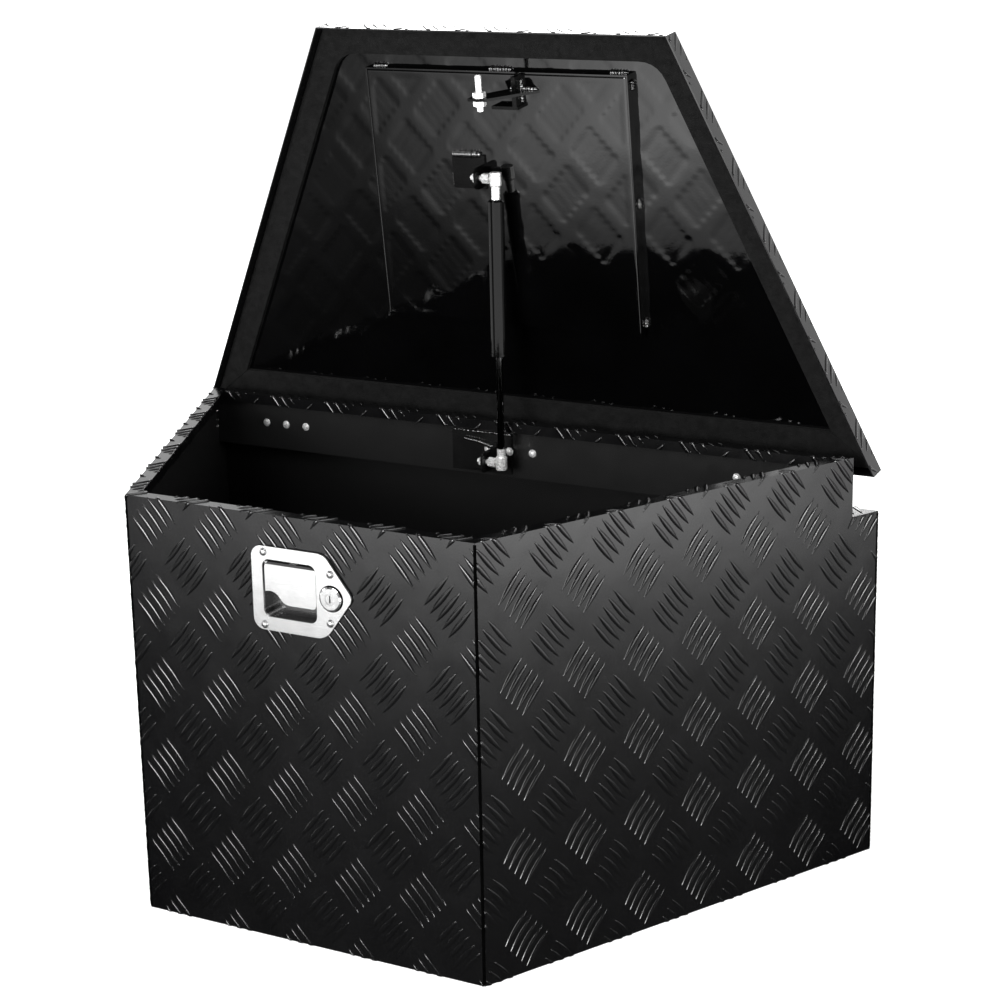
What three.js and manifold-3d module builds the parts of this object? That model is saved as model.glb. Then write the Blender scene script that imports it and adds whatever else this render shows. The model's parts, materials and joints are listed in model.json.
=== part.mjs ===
// Trapezoid truck and trailer tool box with a gas-strut lid and a flush paddle latch.
// Millimetres, +Z up, +X to the right along the front panel, +Y towards the hinges.
// Origin: centre of the box's base. The lid is drawn closed and turned open as one group.

import * as THREE from 'three';
import { mergeVertices } from 'three/addons/utils/BufferGeometryUtils.js';
import Module from 'manifold-3d';

const wasm = await Module();
wasm.setup();

// ---- Driving dimensions ----------------------------------------------------------------
const GAP = 0.3;                  // between pieces that touch on the real box

const HEIGHT = 457;
const DEPTH = 482;
const FRONT_WIDTH = 408.5;
const REAR_WIDTH = 855;
const SHEET = 2;                  // wall thickness
const FLANGE = 15;                // rim flange, turned inwards
const LIP = 11;                   // return lip under the flange's inner edge
const FLOOR_FLANGE = 15;
const LEDGE_Z = 392;              // the rear wall steps in above this height
const NOTCH_DEPTH = 35;
const RELIEF = { length: 14, width: 1.2, angle: THREE.MathUtils.degToRad(64) };

const LID = {
  frontWidth: 429.5,
  rearWidth: 859.5,
  front: -250.5,
  rear: 213.5,
  bottom: 443.8,                  // free edge of the skirt, lid closed
  height: 22,
  sheet: 1.5,
};
const OPEN_ANGLE = THREE.MathUtils.degToRad(82.76);
const HINGE = {
  y: 211,
  z: 436,
  centres: [-307, 0, 307],
  width: 76,
  knuckleRadius: 4,
  boreRadius: 2.1,
  pinRadius: 1.95,
  leaf: 2,
  knuckles: 5,
  knuckleGap: 0.4,
  rivetPitch: 28,
  rivetZ: 421,
};
const SEAL = { thickness: 6.7, side: 30, front: 31, rear: 41, cornerRadius: 34 };
const TRAY = { left: -161, right: 163, near: 131, far: 419, height: 12, sheet: 1.5 };

const STRUT = {
  x: 3,
  lower: { y: 176, z: 413.3 },
  upper: { u: 304, v: -6.4 },     // in the lid: distance from the rear skirt, height over its edge
  ballRadius: 5,
  socketRadius: 6.5,
  tubeRadius: 9,
  tubeBore: 7.8,
  tubeLength: 171,
  rodRadius: 4,
  tubeTopDrop: 23,                // ball centre to the top of the tube
  pistonAbove: 12,                // piston above the rod guide, fully extended
};
const STUD = { neckEnd: -6.8, collarEnd: -15.7, threadEnd: -30 };  // from the ball's centre

const LATCH = {
  face: -DEPTH / 2,
  gasket: 1,
  plate: 1.5,
  cup: { left: -37, right: 26, bottom: 352, top: 412, radius: 8, depth: 13.8, wall: 1.2 },
  lock: { x: 43.3, z: 380.8 },
  rivets: [[-35, 419], [-36.6, 343.4], [42.8, 405.7], [41.2, 355.2]],
  paddlePin: { y: -238, z: 406.5, radius: 1.9 },
  boltX: 8.5,
  boltZ: 411.8,                   // underside of the tongue
};
const STRIKER = { x: 8.5, v: -36, radius: 3.5, tip: 425, arm: 399, foot: 382 };

// ---- Materials -------------------------------------------------------------------------
function material(color, roughness, metalness) {
  return new THREE.MeshStandardMaterial({ color, roughness, metalness });
}
const BLACK = material(0x101012, 0.28, 0.2);
const SATIN = material(0x0c0c0d, 0.45, 0.2);
const STAINLESS = material(0xc4c6c8, 0.16, 1.0);
const ZINC = material(0xd2d3d0, 0.3, 1.0);
const FOAM = material(0x1a1a1b, 0.9, 0.0);
const RUBBER = material(0x0b0b0b, 0.8, 0.0);

// ---- Solids ----------------------------------------------------------------------------
function solid(geometry) {
  geometry.deleteAttribute('normal');
  geometry.deleteAttribute('uv');
  const merged = mergeVertices(geometry, 1e-4);
  return new wasm.Manifold(new wasm.Mesh({
    numProp: 3,
    vertProperties: new Float32Array(merged.attributes.position.array),
    triVerts: new Uint32Array(merged.index.array),
  }));
}

function toGeometry(manifold) {
  const mesh = manifold.getMesh();
  const geometry = new THREE.BufferGeometry();
  geometry.setAttribute('position', new THREE.BufferAttribute(mesh.vertProperties, 3));
  geometry.setIndex(new THREE.BufferAttribute(mesh.triVerts, 1));
  return geometry;
}

function box(x0, x1, y0, y1, z0, z1) {
  const geometry = new THREE.BoxGeometry(x1 - x0, y1 - y0, z1 - z0);
  return solid(geometry.translate((x0 + x1) / 2, (y0 + y1) / 2, (z0 + z1) / 2));
}

function extrude(outline, length, basis) {
  const shape = outline instanceof THREE.Shape
    ? outline : new THREE.Shape(outline.map(([a, b]) => new THREE.Vector2(a, b)));
  const geometry = new THREE.ExtrudeGeometry(shape, {
    depth: length, bevelEnabled: false, curveSegments: 5,
  });
  return solid(geometry.applyMatrix4(basis));
}

const AXIS_X = new THREE.Vector3(1, 0, 0);
const AXIS_Y = new THREE.Vector3(0, 1, 0);
const AXIS_Z = new THREE.Vector3(0, 0, 1);

function prismX(outlineYZ, x0, x1) {
  const basis = new THREE.Matrix4().makeBasis(AXIS_Y, AXIS_Z, AXIS_X);
  return extrude(outlineYZ, x1 - x0, basis.setPosition(x0, 0, 0));
}

function prismY(outlineXZ, y0, y1) {
  const basis = new THREE.Matrix4().makeBasis(AXIS_X, AXIS_Z, AXIS_Y.clone().negate());
  return extrude(outlineXZ, y1 - y0, basis.setPosition(0, y1, 0));
}

function prismZ(outlineXY, z0, z1) {
  return extrude(outlineXY, z1 - z0, new THREE.Matrix4().makeTranslation(0, 0, z0));
}

// A turned solid: profile points are [radius, distance along the axis], closed on the axis.
function turned(profile, sides) {
  return new THREE.LatheGeometry(profile.map(([r, s]) => new THREE.Vector2(r, s)), sides);
}

// Lathe geometry turns about Y, so this leaves it along Y at (x, z).
function turnedY(profile, x, z, sides = 16) {
  return solid(turned(profile, sides).translate(x, 0, z));
}

function turnedZ(profile, x, y, sides = 20) {
  return solid(turned(profile, sides).rotateX(Math.PI / 2).translate(x, y, 0));
}

function turnedX(profile, y, z, sides = 16) {
  return solid(turned(profile, sides).rotateZ(-Math.PI / 2).translate(0, y, z));
}

function cylinderProfile(radius, from, to) {
  return [[0, from], [radius, from], [radius, to], [0, to]];
}

function union(...parts) {
  return parts.reduce((whole, next) => whole.add(next));
}

function cut(body, ...tools) {
  return tools.reduce((left, tool) => left.subtract(tool), body);
}

// Everything on one side of a vertical plane through (x, y), on the side that normal points to.
function halfSpace(x, y, normalX, normalY) {
  const reach = 2000;
  const slab = new THREE.BoxGeometry(reach, 2 * reach, 2 * reach).translate(reach / 2, 0, 0);
  return solid(slab.rotateZ(Math.atan2(normalY, normalX)).translate(x, y, 0));
}

function roundedRect(left, right, bottom, top, radius) {
  const shape = new THREE.Shape();
  shape.moveTo(left + radius, bottom);
  shape.lineTo(right - radius, bottom);
  shape.absarc(right - radius, bottom + radius, radius, -Math.PI / 2, 0, false);
  shape.lineTo(right, top - radius);
  shape.absarc(right - radius, top - radius, radius, 0, Math.PI / 2, false);
  shape.lineTo(left + radius, top);
  shape.absarc(left + radius, top - radius, radius, Math.PI / 2, Math.PI, false);
  shape.lineTo(left, bottom + radius);
  shape.absarc(left + radius, bottom + radius, radius, Math.PI, 1.5 * Math.PI, false);
  return shape;
}

function mirrorX(geometry) {
  const flipped = geometry.clone().scale(-1, 1, 1);
  const index = flipped.index.array.slice();
  for (let i = 0; i < index.length; i += 3) {
    const first = index[i];
    index[i] = index[i + 1];
    index[i + 1] = first;
  }
  flipped.setIndex(new THREE.BufferAttribute(index, 1));
  return flipped;
}

// ---- Assembly helpers ------------------------------------------------------------------
const assembly = new THREE.Group();

// The lid's meshes are drawn closed, then the whole group turns about the hinge axis.
const lidGroup = new THREE.Group();
lidGroup.position.set(0, HINGE.y, HINGE.z);
lidGroup.rotation.x = -OPEN_ANGLE;
const lidFrame = new THREE.Group();
lidFrame.position.set(0, -HINGE.y, -HINGE.z);
lidGroup.add(lidFrame);
assembly.add(lidGroup);

function place(parent, name, look, shape) {
  const geometry = shape instanceof THREE.BufferGeometry ? shape : toGeometry(shape);
  const mesh = new THREE.Mesh(geometry, look);
  mesh.name = name;
  parent.add(mesh);
}

// ---- Box body --------------------------------------------------------------------------
const FRONT = -DEPTH / 2;
const REAR = DEPTH / 2;
const UPPER_REAR = REAR - NOTCH_DEPTH;
const SPREAD = (REAR_WIDTH - FRONT_WIDTH) / 2 / DEPTH;
const SLANT = Math.hypot(1, SPREAD);
const SIDE_ANGLE = Math.atan(SPREAD);

// Half width of the box at y, measured to a plane set in from the outer face of the side.
function halfWidth(y, inset = 0) {
  return FRONT_WIDTH / 2 + SPREAD * (y - FRONT) - inset * SLANT;
}

function trapezoid(y0, y1, half) {
  return [[-half(y0), y0], [half(y0), y0], [half(y1), y1], [-half(y1), y1]];
}

// Mitre normals: the front corner opens 90 deg + side angle, the rear corner 90 deg - it.
const FRONT_MITRE = (Math.PI / 2 + SIDE_ANGLE) / 2;
const REAR_MITRE = (Math.PI / 2 - SIDE_ANGLE) / 2;

function frontMitre(side, keepFront) {
  const sign = keepFront ? 1 : -1;
  const offset = sign * GAP / 2;
  const normalX = Math.sin(FRONT_MITRE) * sign;
  const normalY = Math.cos(FRONT_MITRE) * sign;
  const corner = FRONT_WIDTH / 2;
  return halfSpace(
    side * (corner - offset * Math.sin(FRONT_MITRE)), FRONT - offset * Math.cos(FRONT_MITRE),
    side * normalX, normalY,
  );
}

function rearMitre(side, keepRear) {
  const sign = keepRear ? 1 : -1;
  const offset = sign * GAP / 2;
  const normalX = Math.sin(REAR_MITRE) * sign;
  const normalY = -Math.cos(REAR_MITRE) * sign;
  const corner = halfWidth(UPPER_REAR);
  return halfSpace(
    side * (corner - offset * Math.sin(REAR_MITRE)),
    UPPER_REAR + offset * Math.cos(REAR_MITRE),
    side * normalX, normalY,
  );
}

function latchOpening(margin) {
  const { left, right, bottom, top, radius, wall } = LATCH.cup;
  const grow = wall + margin;
  return roundedRect(left - grow, right + grow, bottom - grow, top + grow, radius + grow);
}

function latchHoles(from, to, margin, lockRadius, rivetRadius) {
  const holes = [
    prismY(latchOpening(margin), from, to),
    turnedY(cylinderProfile(lockRadius, from, to), LATCH.lock.x, LATCH.lock.z, 20),
  ];
  for (const [x, z] of LATCH.rivets) {
    holes.push(turnedY(cylinderProfile(rivetRadius, from, to), x, z, 10));
  }
  return holes;
}

function frontPanel() {
  const inner = FRONT + SHEET;
  const profile = [
    [FRONT, 0], [inner, 0], [inner, HEIGHT - SHEET], [FRONT + FLANGE - SHEET, HEIGHT - SHEET],
    [FRONT + FLANGE - SHEET, HEIGHT - LIP], [FRONT + FLANGE, HEIGHT - LIP],
    [FRONT + FLANGE, HEIGHT], [FRONT, HEIGHT],
  ];
  const folded = prismX(profile, -FRONT_WIDTH / 2, FRONT_WIDTH / 2);
  const holes = latchHoles(FRONT - 1, inner + 1, 0.5, 8.6, 2.3);
  return cut(folded, frontMitre(1, true), frontMitre(-1, true), ...holes);
}

function rearPanel() {
  const lipFace = UPPER_REAR - FLANGE;
  const profile = [
    [REAR, 0], [REAR, LEDGE_Z], [UPPER_REAR, LEDGE_Z], [UPPER_REAR, HEIGHT],
    [lipFace, HEIGHT], [lipFace, HEIGHT - LIP], [lipFace + SHEET, HEIGHT - LIP],
    [lipFace + SHEET, HEIGHT - SHEET], [UPPER_REAR - SHEET, HEIGHT - SHEET],
    [UPPER_REAR - SHEET, LEDGE_Z - SHEET], [REAR - SHEET, LEDGE_Z - SHEET], [REAR - SHEET, 0],
  ];
  const folded = prismX(profile, -REAR_WIDTH / 2, REAR_WIDTH / 2);
  const edgeX = halfWidth(0, SHEET + GAP);
  const trims = [1, -1].map((side) => halfSpace(side * edgeX, 0, side, -SPREAD));
  const rim = box(-REAR_WIDTH, REAR_WIDTH, 0, UPPER_REAR - SHEET, HEIGHT - LIP - 1, HEIGHT + 1);
  const mitres = [1, -1].map((side) => rearMitre(side, true).intersect(rim));
  const holes = [];
  for (const centre of HINGE.centres) {
    for (const step of [-1, 0, 1]) {
      const bore = cylinderProfile(2.3, UPPER_REAR - 5, UPPER_REAR + 5);
      holes.push(turnedY(bore, centre + step * HINGE.rivetPitch, HINGE.rivetZ, 10));
    }
  }
  return cut(folded, ...trims, ...mitres, ...holes);
}

// Right-hand side panel, drawn along +Y at x = 0 and turned to the slant of the side.
function sidePanel() {
  const length = DEPTH * SLANT + 20;
  const flangeTop = box(-FLANGE, 0, -20, length, HEIGHT - SHEET, HEIGHT);
  const lip = box(-FLANGE, SHEET - FLANGE, -20, length, HEIGHT - LIP, HEIGHT);
  const wall = box(-SHEET, 0, -20, length, 0, HEIGHT);
  const seat = (piece) => {
    const turn = new THREE.Matrix4().makeRotationZ(-SIDE_ANGLE).setPosition(FRONT_WIDTH / 2, FRONT, 0);
    return solid(toGeometry(piece).applyMatrix4(turn));
  };
  const rim = cut(seat(flangeTop.add(lip)), rearMitre(1, false));
  const notch = box(0, REAR_WIDTH, UPPER_REAR, REAR + 50, LEDGE_Z, HEIGHT + 1);
  const beyond = box(0, REAR_WIDTH, REAR, REAR + 50, -1, HEIGHT + 1);
  const slit = new THREE.BoxGeometry(40, RELIEF.length, RELIEF.width);
  slit.translate(0, -RELIEF.length / 2, 0).rotateX(RELIEF.angle);
  slit.translate(halfWidth(UPPER_REAR), UPPER_REAR + 0.5, LEDGE_Z + 0.5);
  return cut(union(rim, seat(wall)), notch, beyond, frontMitre(1, false), solid(slit));
}

function floorPan() {
  const inset = SHEET + GAP;
  const outer = prismZ(trapezoid(FRONT + inset, REAR - inset, (y) => halfWidth(y, inset)),
    0, FLOOR_FLANGE);
  const deep = inset + SHEET;
  const inner = prismZ(trapezoid(FRONT + deep, REAR - deep, (y) => halfWidth(y, deep)),
    SHEET, FLOOR_FLANGE + 1);
  return outer.subtract(inner);
}

// ---- Hinges ----------------------------------------------------------------------------
function knuckles(centre, own) {
  const pitch = HINGE.width / HINGE.knuckles;
  const barrels = [];
  for (let i = own; i < HINGE.knuckles; i += 2) {
    const from = centre - HINGE.width / 2 + i * pitch + HINGE.knuckleGap / 2;
    barrels.push([from, from + pitch - HINGE.knuckleGap]);
  }
  return barrels;
}

function hingeLeaf(centre, own, leaf) {
  const barrels = knuckles(centre, own);
  const bore = turnedX(cylinderProfile(HINGE.boreRadius, centre - 60, centre + 60),
    HINGE.y, HINGE.z);
  const reliefs = knuckles(centre, 1 - own).map(([from, to]) => box(
    from - HINGE.knuckleGap, to + HINGE.knuckleGap, HINGE.y - 6, HINGE.y + 6,
    HINGE.z - 4.7, HINGE.z + 4.7,
  ));
  const rings = barrels.map(([from, to]) => (
    turnedX(cylinderProfile(HINGE.knuckleRadius, from, to), HINGE.y, HINGE.z)
  ));
  return cut(union(leaf, ...rings), ...reliefs, bore);
}

function boxLeaf(centre) {
  const near = UPPER_REAR + GAP;
  const leaf = box(centre - HINGE.width / 2, centre + HINGE.width / 2,
    near, near + HINGE.leaf, HINGE.rivetZ - 10, HINGE.z);
  const holes = [-1, 0, 1].map((step) => turnedY(
    cylinderProfile(2.3, near - 2, near + 5), centre + step * HINGE.rivetPitch, HINGE.rivetZ, 10,
  ));
  return cut(hingeLeaf(centre, 0, leaf), ...holes);
}

function lidLeaf(centre) {
  const far = LID.rear - LID.sheet - GAP;
  const leaf = box(centre - HINGE.width / 2, centre + HINGE.width / 2,
    far - 1.8, far, HINGE.z, LID.bottom + LID.height - LID.sheet - GAP);
  return hingeLeaf(centre, 1, leaf);
}

function hingePin(centre) {
  const end = HINGE.width / 2 + 0.6;
  return turnedX([
    [0, centre - end - 1.2], [3, centre - end - 1.2], [3, centre - end],
    [HINGE.pinRadius, centre - end], [HINGE.pinRadius, centre + end],
    [3, centre + end], [3, centre + end + 1.2], [0, centre + end + 1.2],
  ], HINGE.y, HINGE.z);
}

// A rivet along Y with a domed head at the low end and a flat tail at the high end.
function rivet(x, z, low, high, radius, head) {
  const dome = head * 0.5;
  return turnedY([
    [0, low - dome], [head * 0.55, low - dome * 0.85], [head, low - dome * 0.15], [head, low],
    [radius, low], [radius, high], [head * 0.85, high], [head * 0.7, high + 1.3], [0, high + 1.3],
  ], x, z, 12);
}

// ---- Latch -----------------------------------------------------------------------------
const GASKET_FRONT = LATCH.face - GAP - LATCH.gasket;
const PLATE_BACK = GASKET_FRONT - GAP;
const PLATE_FRONT = PLATE_BACK - LATCH.plate;
const CUP_FLOOR = PLATE_FRONT + LATCH.cup.depth + LATCH.plate;

// Outline of the latch plate: a straight grip end and a tapered lock end.
function plateOutline() {
  const corner = 12;
  const left = -49.5;
  const top = 425;
  const bottom = 338;
  const tip = { x: 57, z: 383, radius: 9 };
  const shape = new THREE.Shape();
  shape.moveTo(left + corner, bottom);
  shape.lineTo(26, bottom);
  shape.quadraticCurveTo(36, 339, 42, 347);
  shape.lineTo(tip.x + tip.radius * Math.cos(-0.6), tip.z + tip.radius * Math.sin(-0.6));
  shape.absarc(tip.x, tip.z, tip.radius, -0.6, 0.6, false);
  shape.lineTo(42, 417);
  shape.quadraticCurveTo(37, top, 27, top);
  shape.lineTo(left + corner, top);
  shape.absarc(left + corner, top - corner, corner, Math.PI / 2, Math.PI, false);
  shape.lineTo(left, bottom + corner);
  shape.absarc(left + corner, bottom + corner, corner, Math.PI, 1.5 * Math.PI, false);
  return shape;
}

function latchDish() {
  const { left, right, bottom, top, radius } = LATCH.cup;
  const plate = prismY(plateOutline(), PLATE_FRONT, PLATE_BACK);
  const tub = prismY(latchOpening(0), PLATE_FRONT + 0.2, CUP_FLOOR + LATCH.cup.wall);
  const inside = prismY(roundedRect(left, right, bottom, top, radius), PLATE_FRONT - 1, CUP_FLOOR);
  const hookSlot = box(1, 16, CUP_FLOOR - 1, CUP_FLOOR + 3, 386, 396);
  const { y, z } = LATCH.paddlePin;
  const pinHole = turnedX(cylinderProfile(2.2, left - 3, right + 3), y, z, 12);
  const holes = latchHoles(PLATE_FRONT - 1, PLATE_BACK + 1, 0, 8.4, 2.3).slice(1);
  return cut(union(plate, tub), inside, hookSlot, pinHole, ...holes);
}

function latchGasket() {
  const sheet = prismY(plateOutline(), GASKET_FRONT, GASKET_FRONT + LATCH.gasket);
  return cut(sheet, ...latchHoles(GASKET_FRONT - 1, LATCH.face, 0.4, 8.6, 2.3));
}

function paddlePin() {
  const { left, right } = LATCH.cup;
  const { y, z, radius } = LATCH.paddlePin;
  return turnedX(cylinderProfile(radius, left - 0.5, right + 0.5), y, z, 12);
}

// Grip plate with a finger scoop in its lower edge, hung on a rolled barrel round the pin.
function paddle() {
  const left = LATCH.cup.left + 1.5;
  const right = LATCH.cup.right - 1.5;
  const { y, z } = LATCH.paddlePin;
  const corner = 6.5;
  const shoulder = z + 2.5 - corner;
  const face = new THREE.Shape();
  face.moveTo(right, 372);
  face.absarc(right - corner, shoulder, corner, 0, Math.PI / 2, false);
  face.absarc(left + corner, shoulder, corner, Math.PI / 2, Math.PI, false);
  face.lineTo(left, 378);
  face.quadraticCurveTo(-24, 381, -18, 372);
  face.quadraticCurveTo(-14, 366, -6, 366);
  face.lineTo(right - 5, 366);
  face.quadraticCurveTo(right, 366, right, 372);
  const grip = prismY(face, y - 4.4, y - 2.9);
  const barrel = cylinderProfile(3.5, left + 3, right - 3);
  const rolled = turnedX(barrel, y, z, 16);
  const springGap = box(-8.5, 1.5, y - 2.8, y + 5, z - 5, z + 5);
  const prongs = [3, 11.5].map((x) => box(x, x + 2.5, y + 2, y + 3.4, 389, z - 1));
  const bore = turnedX(cylinderProfile(2.1, left - 1, right + 1), y, z, 12);
  return cut(union(grip, cut(rolled, springGap), ...prongs), bore);
}

// Torsion spring on the pin: a close coil between the two halves of the barrel.
function paddleSpring() {
  const { y, z } = LATCH.paddlePin;
  const turns = 4;
  const steps = 10 * turns;
  const points = [];
  for (let i = 0; i <= steps; i += 1) {
    const angle = (i / steps) * turns * 2 * Math.PI;
    const x = -6.5 + (i / steps) * 6;
    points.push(new THREE.Vector3(x, y + 2.4 * Math.sin(angle), z + 2.4 * Math.cos(angle)));
  }
  const path = new THREE.CatmullRomCurve3(points);
  const wire = new THREE.Shape();
  wire.absarc(0, 0, 0.32, 0, 2 * Math.PI, false);
  return solid(new THREE.ExtrudeGeometry(wire, {
    steps, curveSegments: 3, extrudePath: path,
  }));
}

const CARRIAGE = { front: -217.5, thick: 2, tip: -204 };

// Sprung tongue that hooks over the striker, on a carriage pulled forward by the paddle.
function latchBolt() {
  const z = LATCH.boltZ;
  const back = CARRIAGE.front + CARRIAGE.thick;
  const tongue = prismX([
    [CARRIAGE.front, z], [CARRIAGE.tip, z], [CARRIAGE.tip, z + 0.8], [CARRIAGE.tip - 4, z + 3.5],
    [CARRIAGE.front, z + 3.5],
  ], LATCH.boltX - 9.5, LATCH.boltX + 9.5);
  const plate = box(LATCH.boltX - 14, LATCH.boltX + 14.5, CARRIAGE.front, back, 377.5, z + 3.5);
  const lockEar = box(LATCH.boltX + 14, 34.5, CARRIAGE.front, back, 377.5, 384.5);
  const hook = box(LATCH.boltX - 2.4, LATCH.boltX + 2.4, -239.2, back, 389.5, 392.5);
  const heads = [-239.2, -232.4].map((y) => (
    box(LATCH.boltX - 5.5, LATCH.boltX + 5.5, y, y + 1.4, 389.5, 392.5)
  ));
  return union(tongue, plate, lockEar, hook, ...heads);
}

function latchHousing() {
  const wall = 1.2;
  const front = CUP_FLOOR + LATCH.cup.wall + GAP;
  const outer = { left: -12, right: 29, back: -213, bottom: 373, top: 419.5 };
  const shell = box(outer.left, outer.right, front, outer.back, outer.bottom, outer.top);
  const hollow = box(outer.left + wall, outer.right - wall, front - 1, outer.back - wall,
    outer.bottom + wall, outer.top - wall);
  const tongueSlot = box(LATCH.boltX - 10.1, LATCH.boltX + 10.1, outer.back - 3, outer.back + 1,
    LATCH.boltZ - 0.6, LATCH.boltZ + 4.1);
  const earSlot = box(outer.right - 3, outer.right + 1, front - 1, outer.back - wall, 376.5, 385.5);
  return cut(shell, hollow, tongueSlot, earSlot);
}

function lockBody() {
  const { x, z } = LATCH.lock;
  const front = PLATE_FRONT - GAP;
  const bezel = [
    [5.7, front - 2.4], [10.8, front - 2.4], [12.5, front - 1.2], [12.5, front],
    [8, front], [8, -220.3], [5.7, -220.3], [5.7, front - 2.4],
  ];
  return turnedY(bezel, x, z, 24);
}

function lockPlug() {
  const { x, z } = LATCH.lock;
  const front = PLATE_FRONT - GAP - 2.2;
  const core = turnedY([
    [0, front], [5.5, front], [5.5, -220.2], [3, -220.2], [3, -214.5], [0, -214.5],
  ], x, z, 20);
  return core.subtract(box(x - 0.8, x + 0.8, front - 1, front + 8, z - 3.8, z + 3.8));
}

function lockCam() {
  const { x, z } = LATCH.lock;
  const arm = box(x - 3.6, x + 3.6, -219.8, -218, z - 13, z);
  const hub = turnedY(cylinderProfile(6, -219.8, -218), x, z, 16);
  return cut(union(hub, arm), turnedY(cylinderProfile(3.2, -221, -217), x, z, 16));
}

function lockCamNut() {
  const { x, z } = LATCH.lock;
  const hex = turnedY(cylinderProfile(5.6, -217.7, -215.2), x, z, 6);
  return hex.subtract(turnedY(cylinderProfile(3.2, -219, -214), x, z, 16));
}

function lockNut() {
  const { x, z } = LATCH.lock;
  const near = LATCH.face + SHEET + GAP;
  const hex = turnedY(cylinderProfile(11, near, near + 4), x, z, 6);
  return hex.subtract(turnedY(cylinderProfile(8.3, near - 1, near + 5), x, z, 24));
}

// ---- Lid -------------------------------------------------------------------------------
const LID_SPREAD = (LID.rearWidth - LID.frontWidth) / 2 / (LID.rear - LID.front);
const LID_SLANT = Math.hypot(1, LID_SPREAD);
const LID_TOP = LID.bottom + LID.height;
const SKIN_UNDER = LID_TOP - LID.sheet;

function lidHalf(y, inset = 0) {
  return LID.frontWidth / 2 + LID_SPREAD * (y - LID.front) - inset * LID_SLANT;
}

function lidSkin() {
  const outer = prismZ(trapezoid(LID.front, LID.rear, lidHalf), LID.bottom, LID_TOP);
  const t = LID.sheet;
  const inner = prismZ(trapezoid(LID.front + t, LID.rear - t, (y) => lidHalf(y, t)),
    LID.bottom - 1, SKIN_UNDER);
  return outer.subtract(inner);
}

// Inner edge of the seal, with round front corners and sharp rear ones.
function sealWindow() {
  const y0 = LID.front + SEAL.front;
  const y1 = LID.rear - SEAL.rear;
  const x0 = lidHalf(y0, SEAL.side);
  const x1 = lidHalf(y1, SEAL.side);
  const reach = SEAL.cornerRadius * Math.tan((Math.PI / 2 - SIDE_ANGLE) / 2);
  const alongX = reach * Math.sin(SIDE_ANGLE);
  const alongY = reach * Math.cos(SIDE_ANGLE);
  const shape = new THREE.Shape();
  shape.moveTo(-x0 + reach, y0);
  shape.lineTo(x0 - reach, y0);
  shape.quadraticCurveTo(x0, y0, x0 + alongX, y0 + alongY);
  shape.lineTo(x1, y1);
  shape.lineTo(-x1, y1);
  shape.lineTo(-x0 - alongX, y0 + alongY);
  shape.quadraticCurveTo(-x0, y0, -x0 + reach, y0);
  return shape;
}

function sealBand() {
  const edge = LID.sheet + GAP;
  const low = SKIN_UNDER - GAP - SEAL.thickness;
  const outline = trapezoid(LID.front + edge, LID.rear - edge, (y) => lidHalf(y, edge));
  const band = prismZ(outline, low, SKIN_UNDER - GAP);
  return band.subtract(prismZ(sealWindow(), low - 1, LID_TOP));
}

// The mitre at each rear corner of the seal, from the window's corner to the lid's corner.
function sealMitre(gap) {
  const y1 = LID.rear - SEAL.rear;
  const x1 = lidHalf(y1, SEAL.side);
  const cornerX = lidHalf(LID.rear);
  const shiftX = (cornerX - x1) / (LID.rear - y1);
  const y2 = LID.rear + 5;
  const y0 = y1 - 6;
  const at = (y) => x1 + shiftX * (y - y1) - gap;
  return prismZ([[-at(y0), y0], [at(y0), y0], [at(y2), y2], [-at(y2), y2]], LID.bottom, LID_TOP);
}

function sealFrontSides() {
  return sealBand().subtract(sealMitre(0));
}

function sealRear() {
  const hingeSide = LID.rear - LID.sheet - GAP - 1.8 - GAP;
  const behindLeaf = box(-LID.rearWidth, LID.rearWidth, hingeSide, LID.rear, LID.bottom, LID_TOP);
  return sealBand().intersect(sealMitre(2 * GAP)).subtract(behindLeaf);
}

// Positions in the lid, drawn closed: u from the rear skirt, v up from the skirt's free edge.
function lidY(u) {
  return LID.rear - u;
}

function lidZ(v) {
  return LID.bottom + v;
}

const TRAY_FACE = SKIN_UNDER - TRAY.height;

function stiffenerTray() {
  const t = TRAY.sheet;
  const shell = box(TRAY.left, TRAY.right, lidY(TRAY.far), lidY(TRAY.near),
    TRAY_FACE, SKIN_UNDER - GAP);
  return shell.subtract(box(TRAY.left + t, TRAY.right - t, lidY(TRAY.far) + t,
    lidY(TRAY.near) - t, TRAY_FACE + t, SKIN_UNDER + 1));
}

// ---- Strut brackets and studs ----------------------------------------------------------
const TAB = { thick: 2.5, near: -16, halfWidth: 12 };

function studBore(y, z) {
  return turnedX(cylinderProfile(3.3, TAB.near - 8, TAB.near + 4), y, z, 12);
}

function roundTab(y0, y1, z, halfHeight) {
  const shape = new THREE.Shape();
  const radius = 7;
  shape.moveTo(y1, z - halfHeight);
  shape.lineTo(y1, z + halfHeight);
  shape.lineTo(y0 + radius, z + halfHeight);
  shape.absarc(y0 + radius, z + halfHeight - radius, radius, Math.PI / 2, Math.PI, false);
  shape.absarc(y0 + radius, z - halfHeight + radius, radius, Math.PI, 1.5 * Math.PI, false);
  return prismX(shape, TAB.near - TAB.thick, TAB.near);
}

function lowerBracket() {
  const wall = UPPER_REAR - SHEET - GAP;
  const { y, z } = STRUT.lower;
  const backing = box(-75, 2, wall - 2.5, wall, LEDGE_Z + 2, 440);
  const foot = box(-57, TAB.near, wall - 5, wall - 2.5, z - 16, z + 17);
  const tab = roundTab(y - 11, wall - 2.5, z, TAB.halfWidth);
  const shanks = [0, -HINGE.rivetPitch].map((x) => (
    turnedY(cylinderProfile(2.3, wall - 8, wall + 1), x, HINGE.rivetZ, 10)
  ));
  const headRoom = turnedY(cylinderProfile(5.6, wall - 9, wall - 2.5),
    -HINGE.rivetPitch, HINGE.rivetZ, 16);
  return cut(union(backing, foot, tab), ...shanks, headRoom, studBore(y, z));
}

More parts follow.
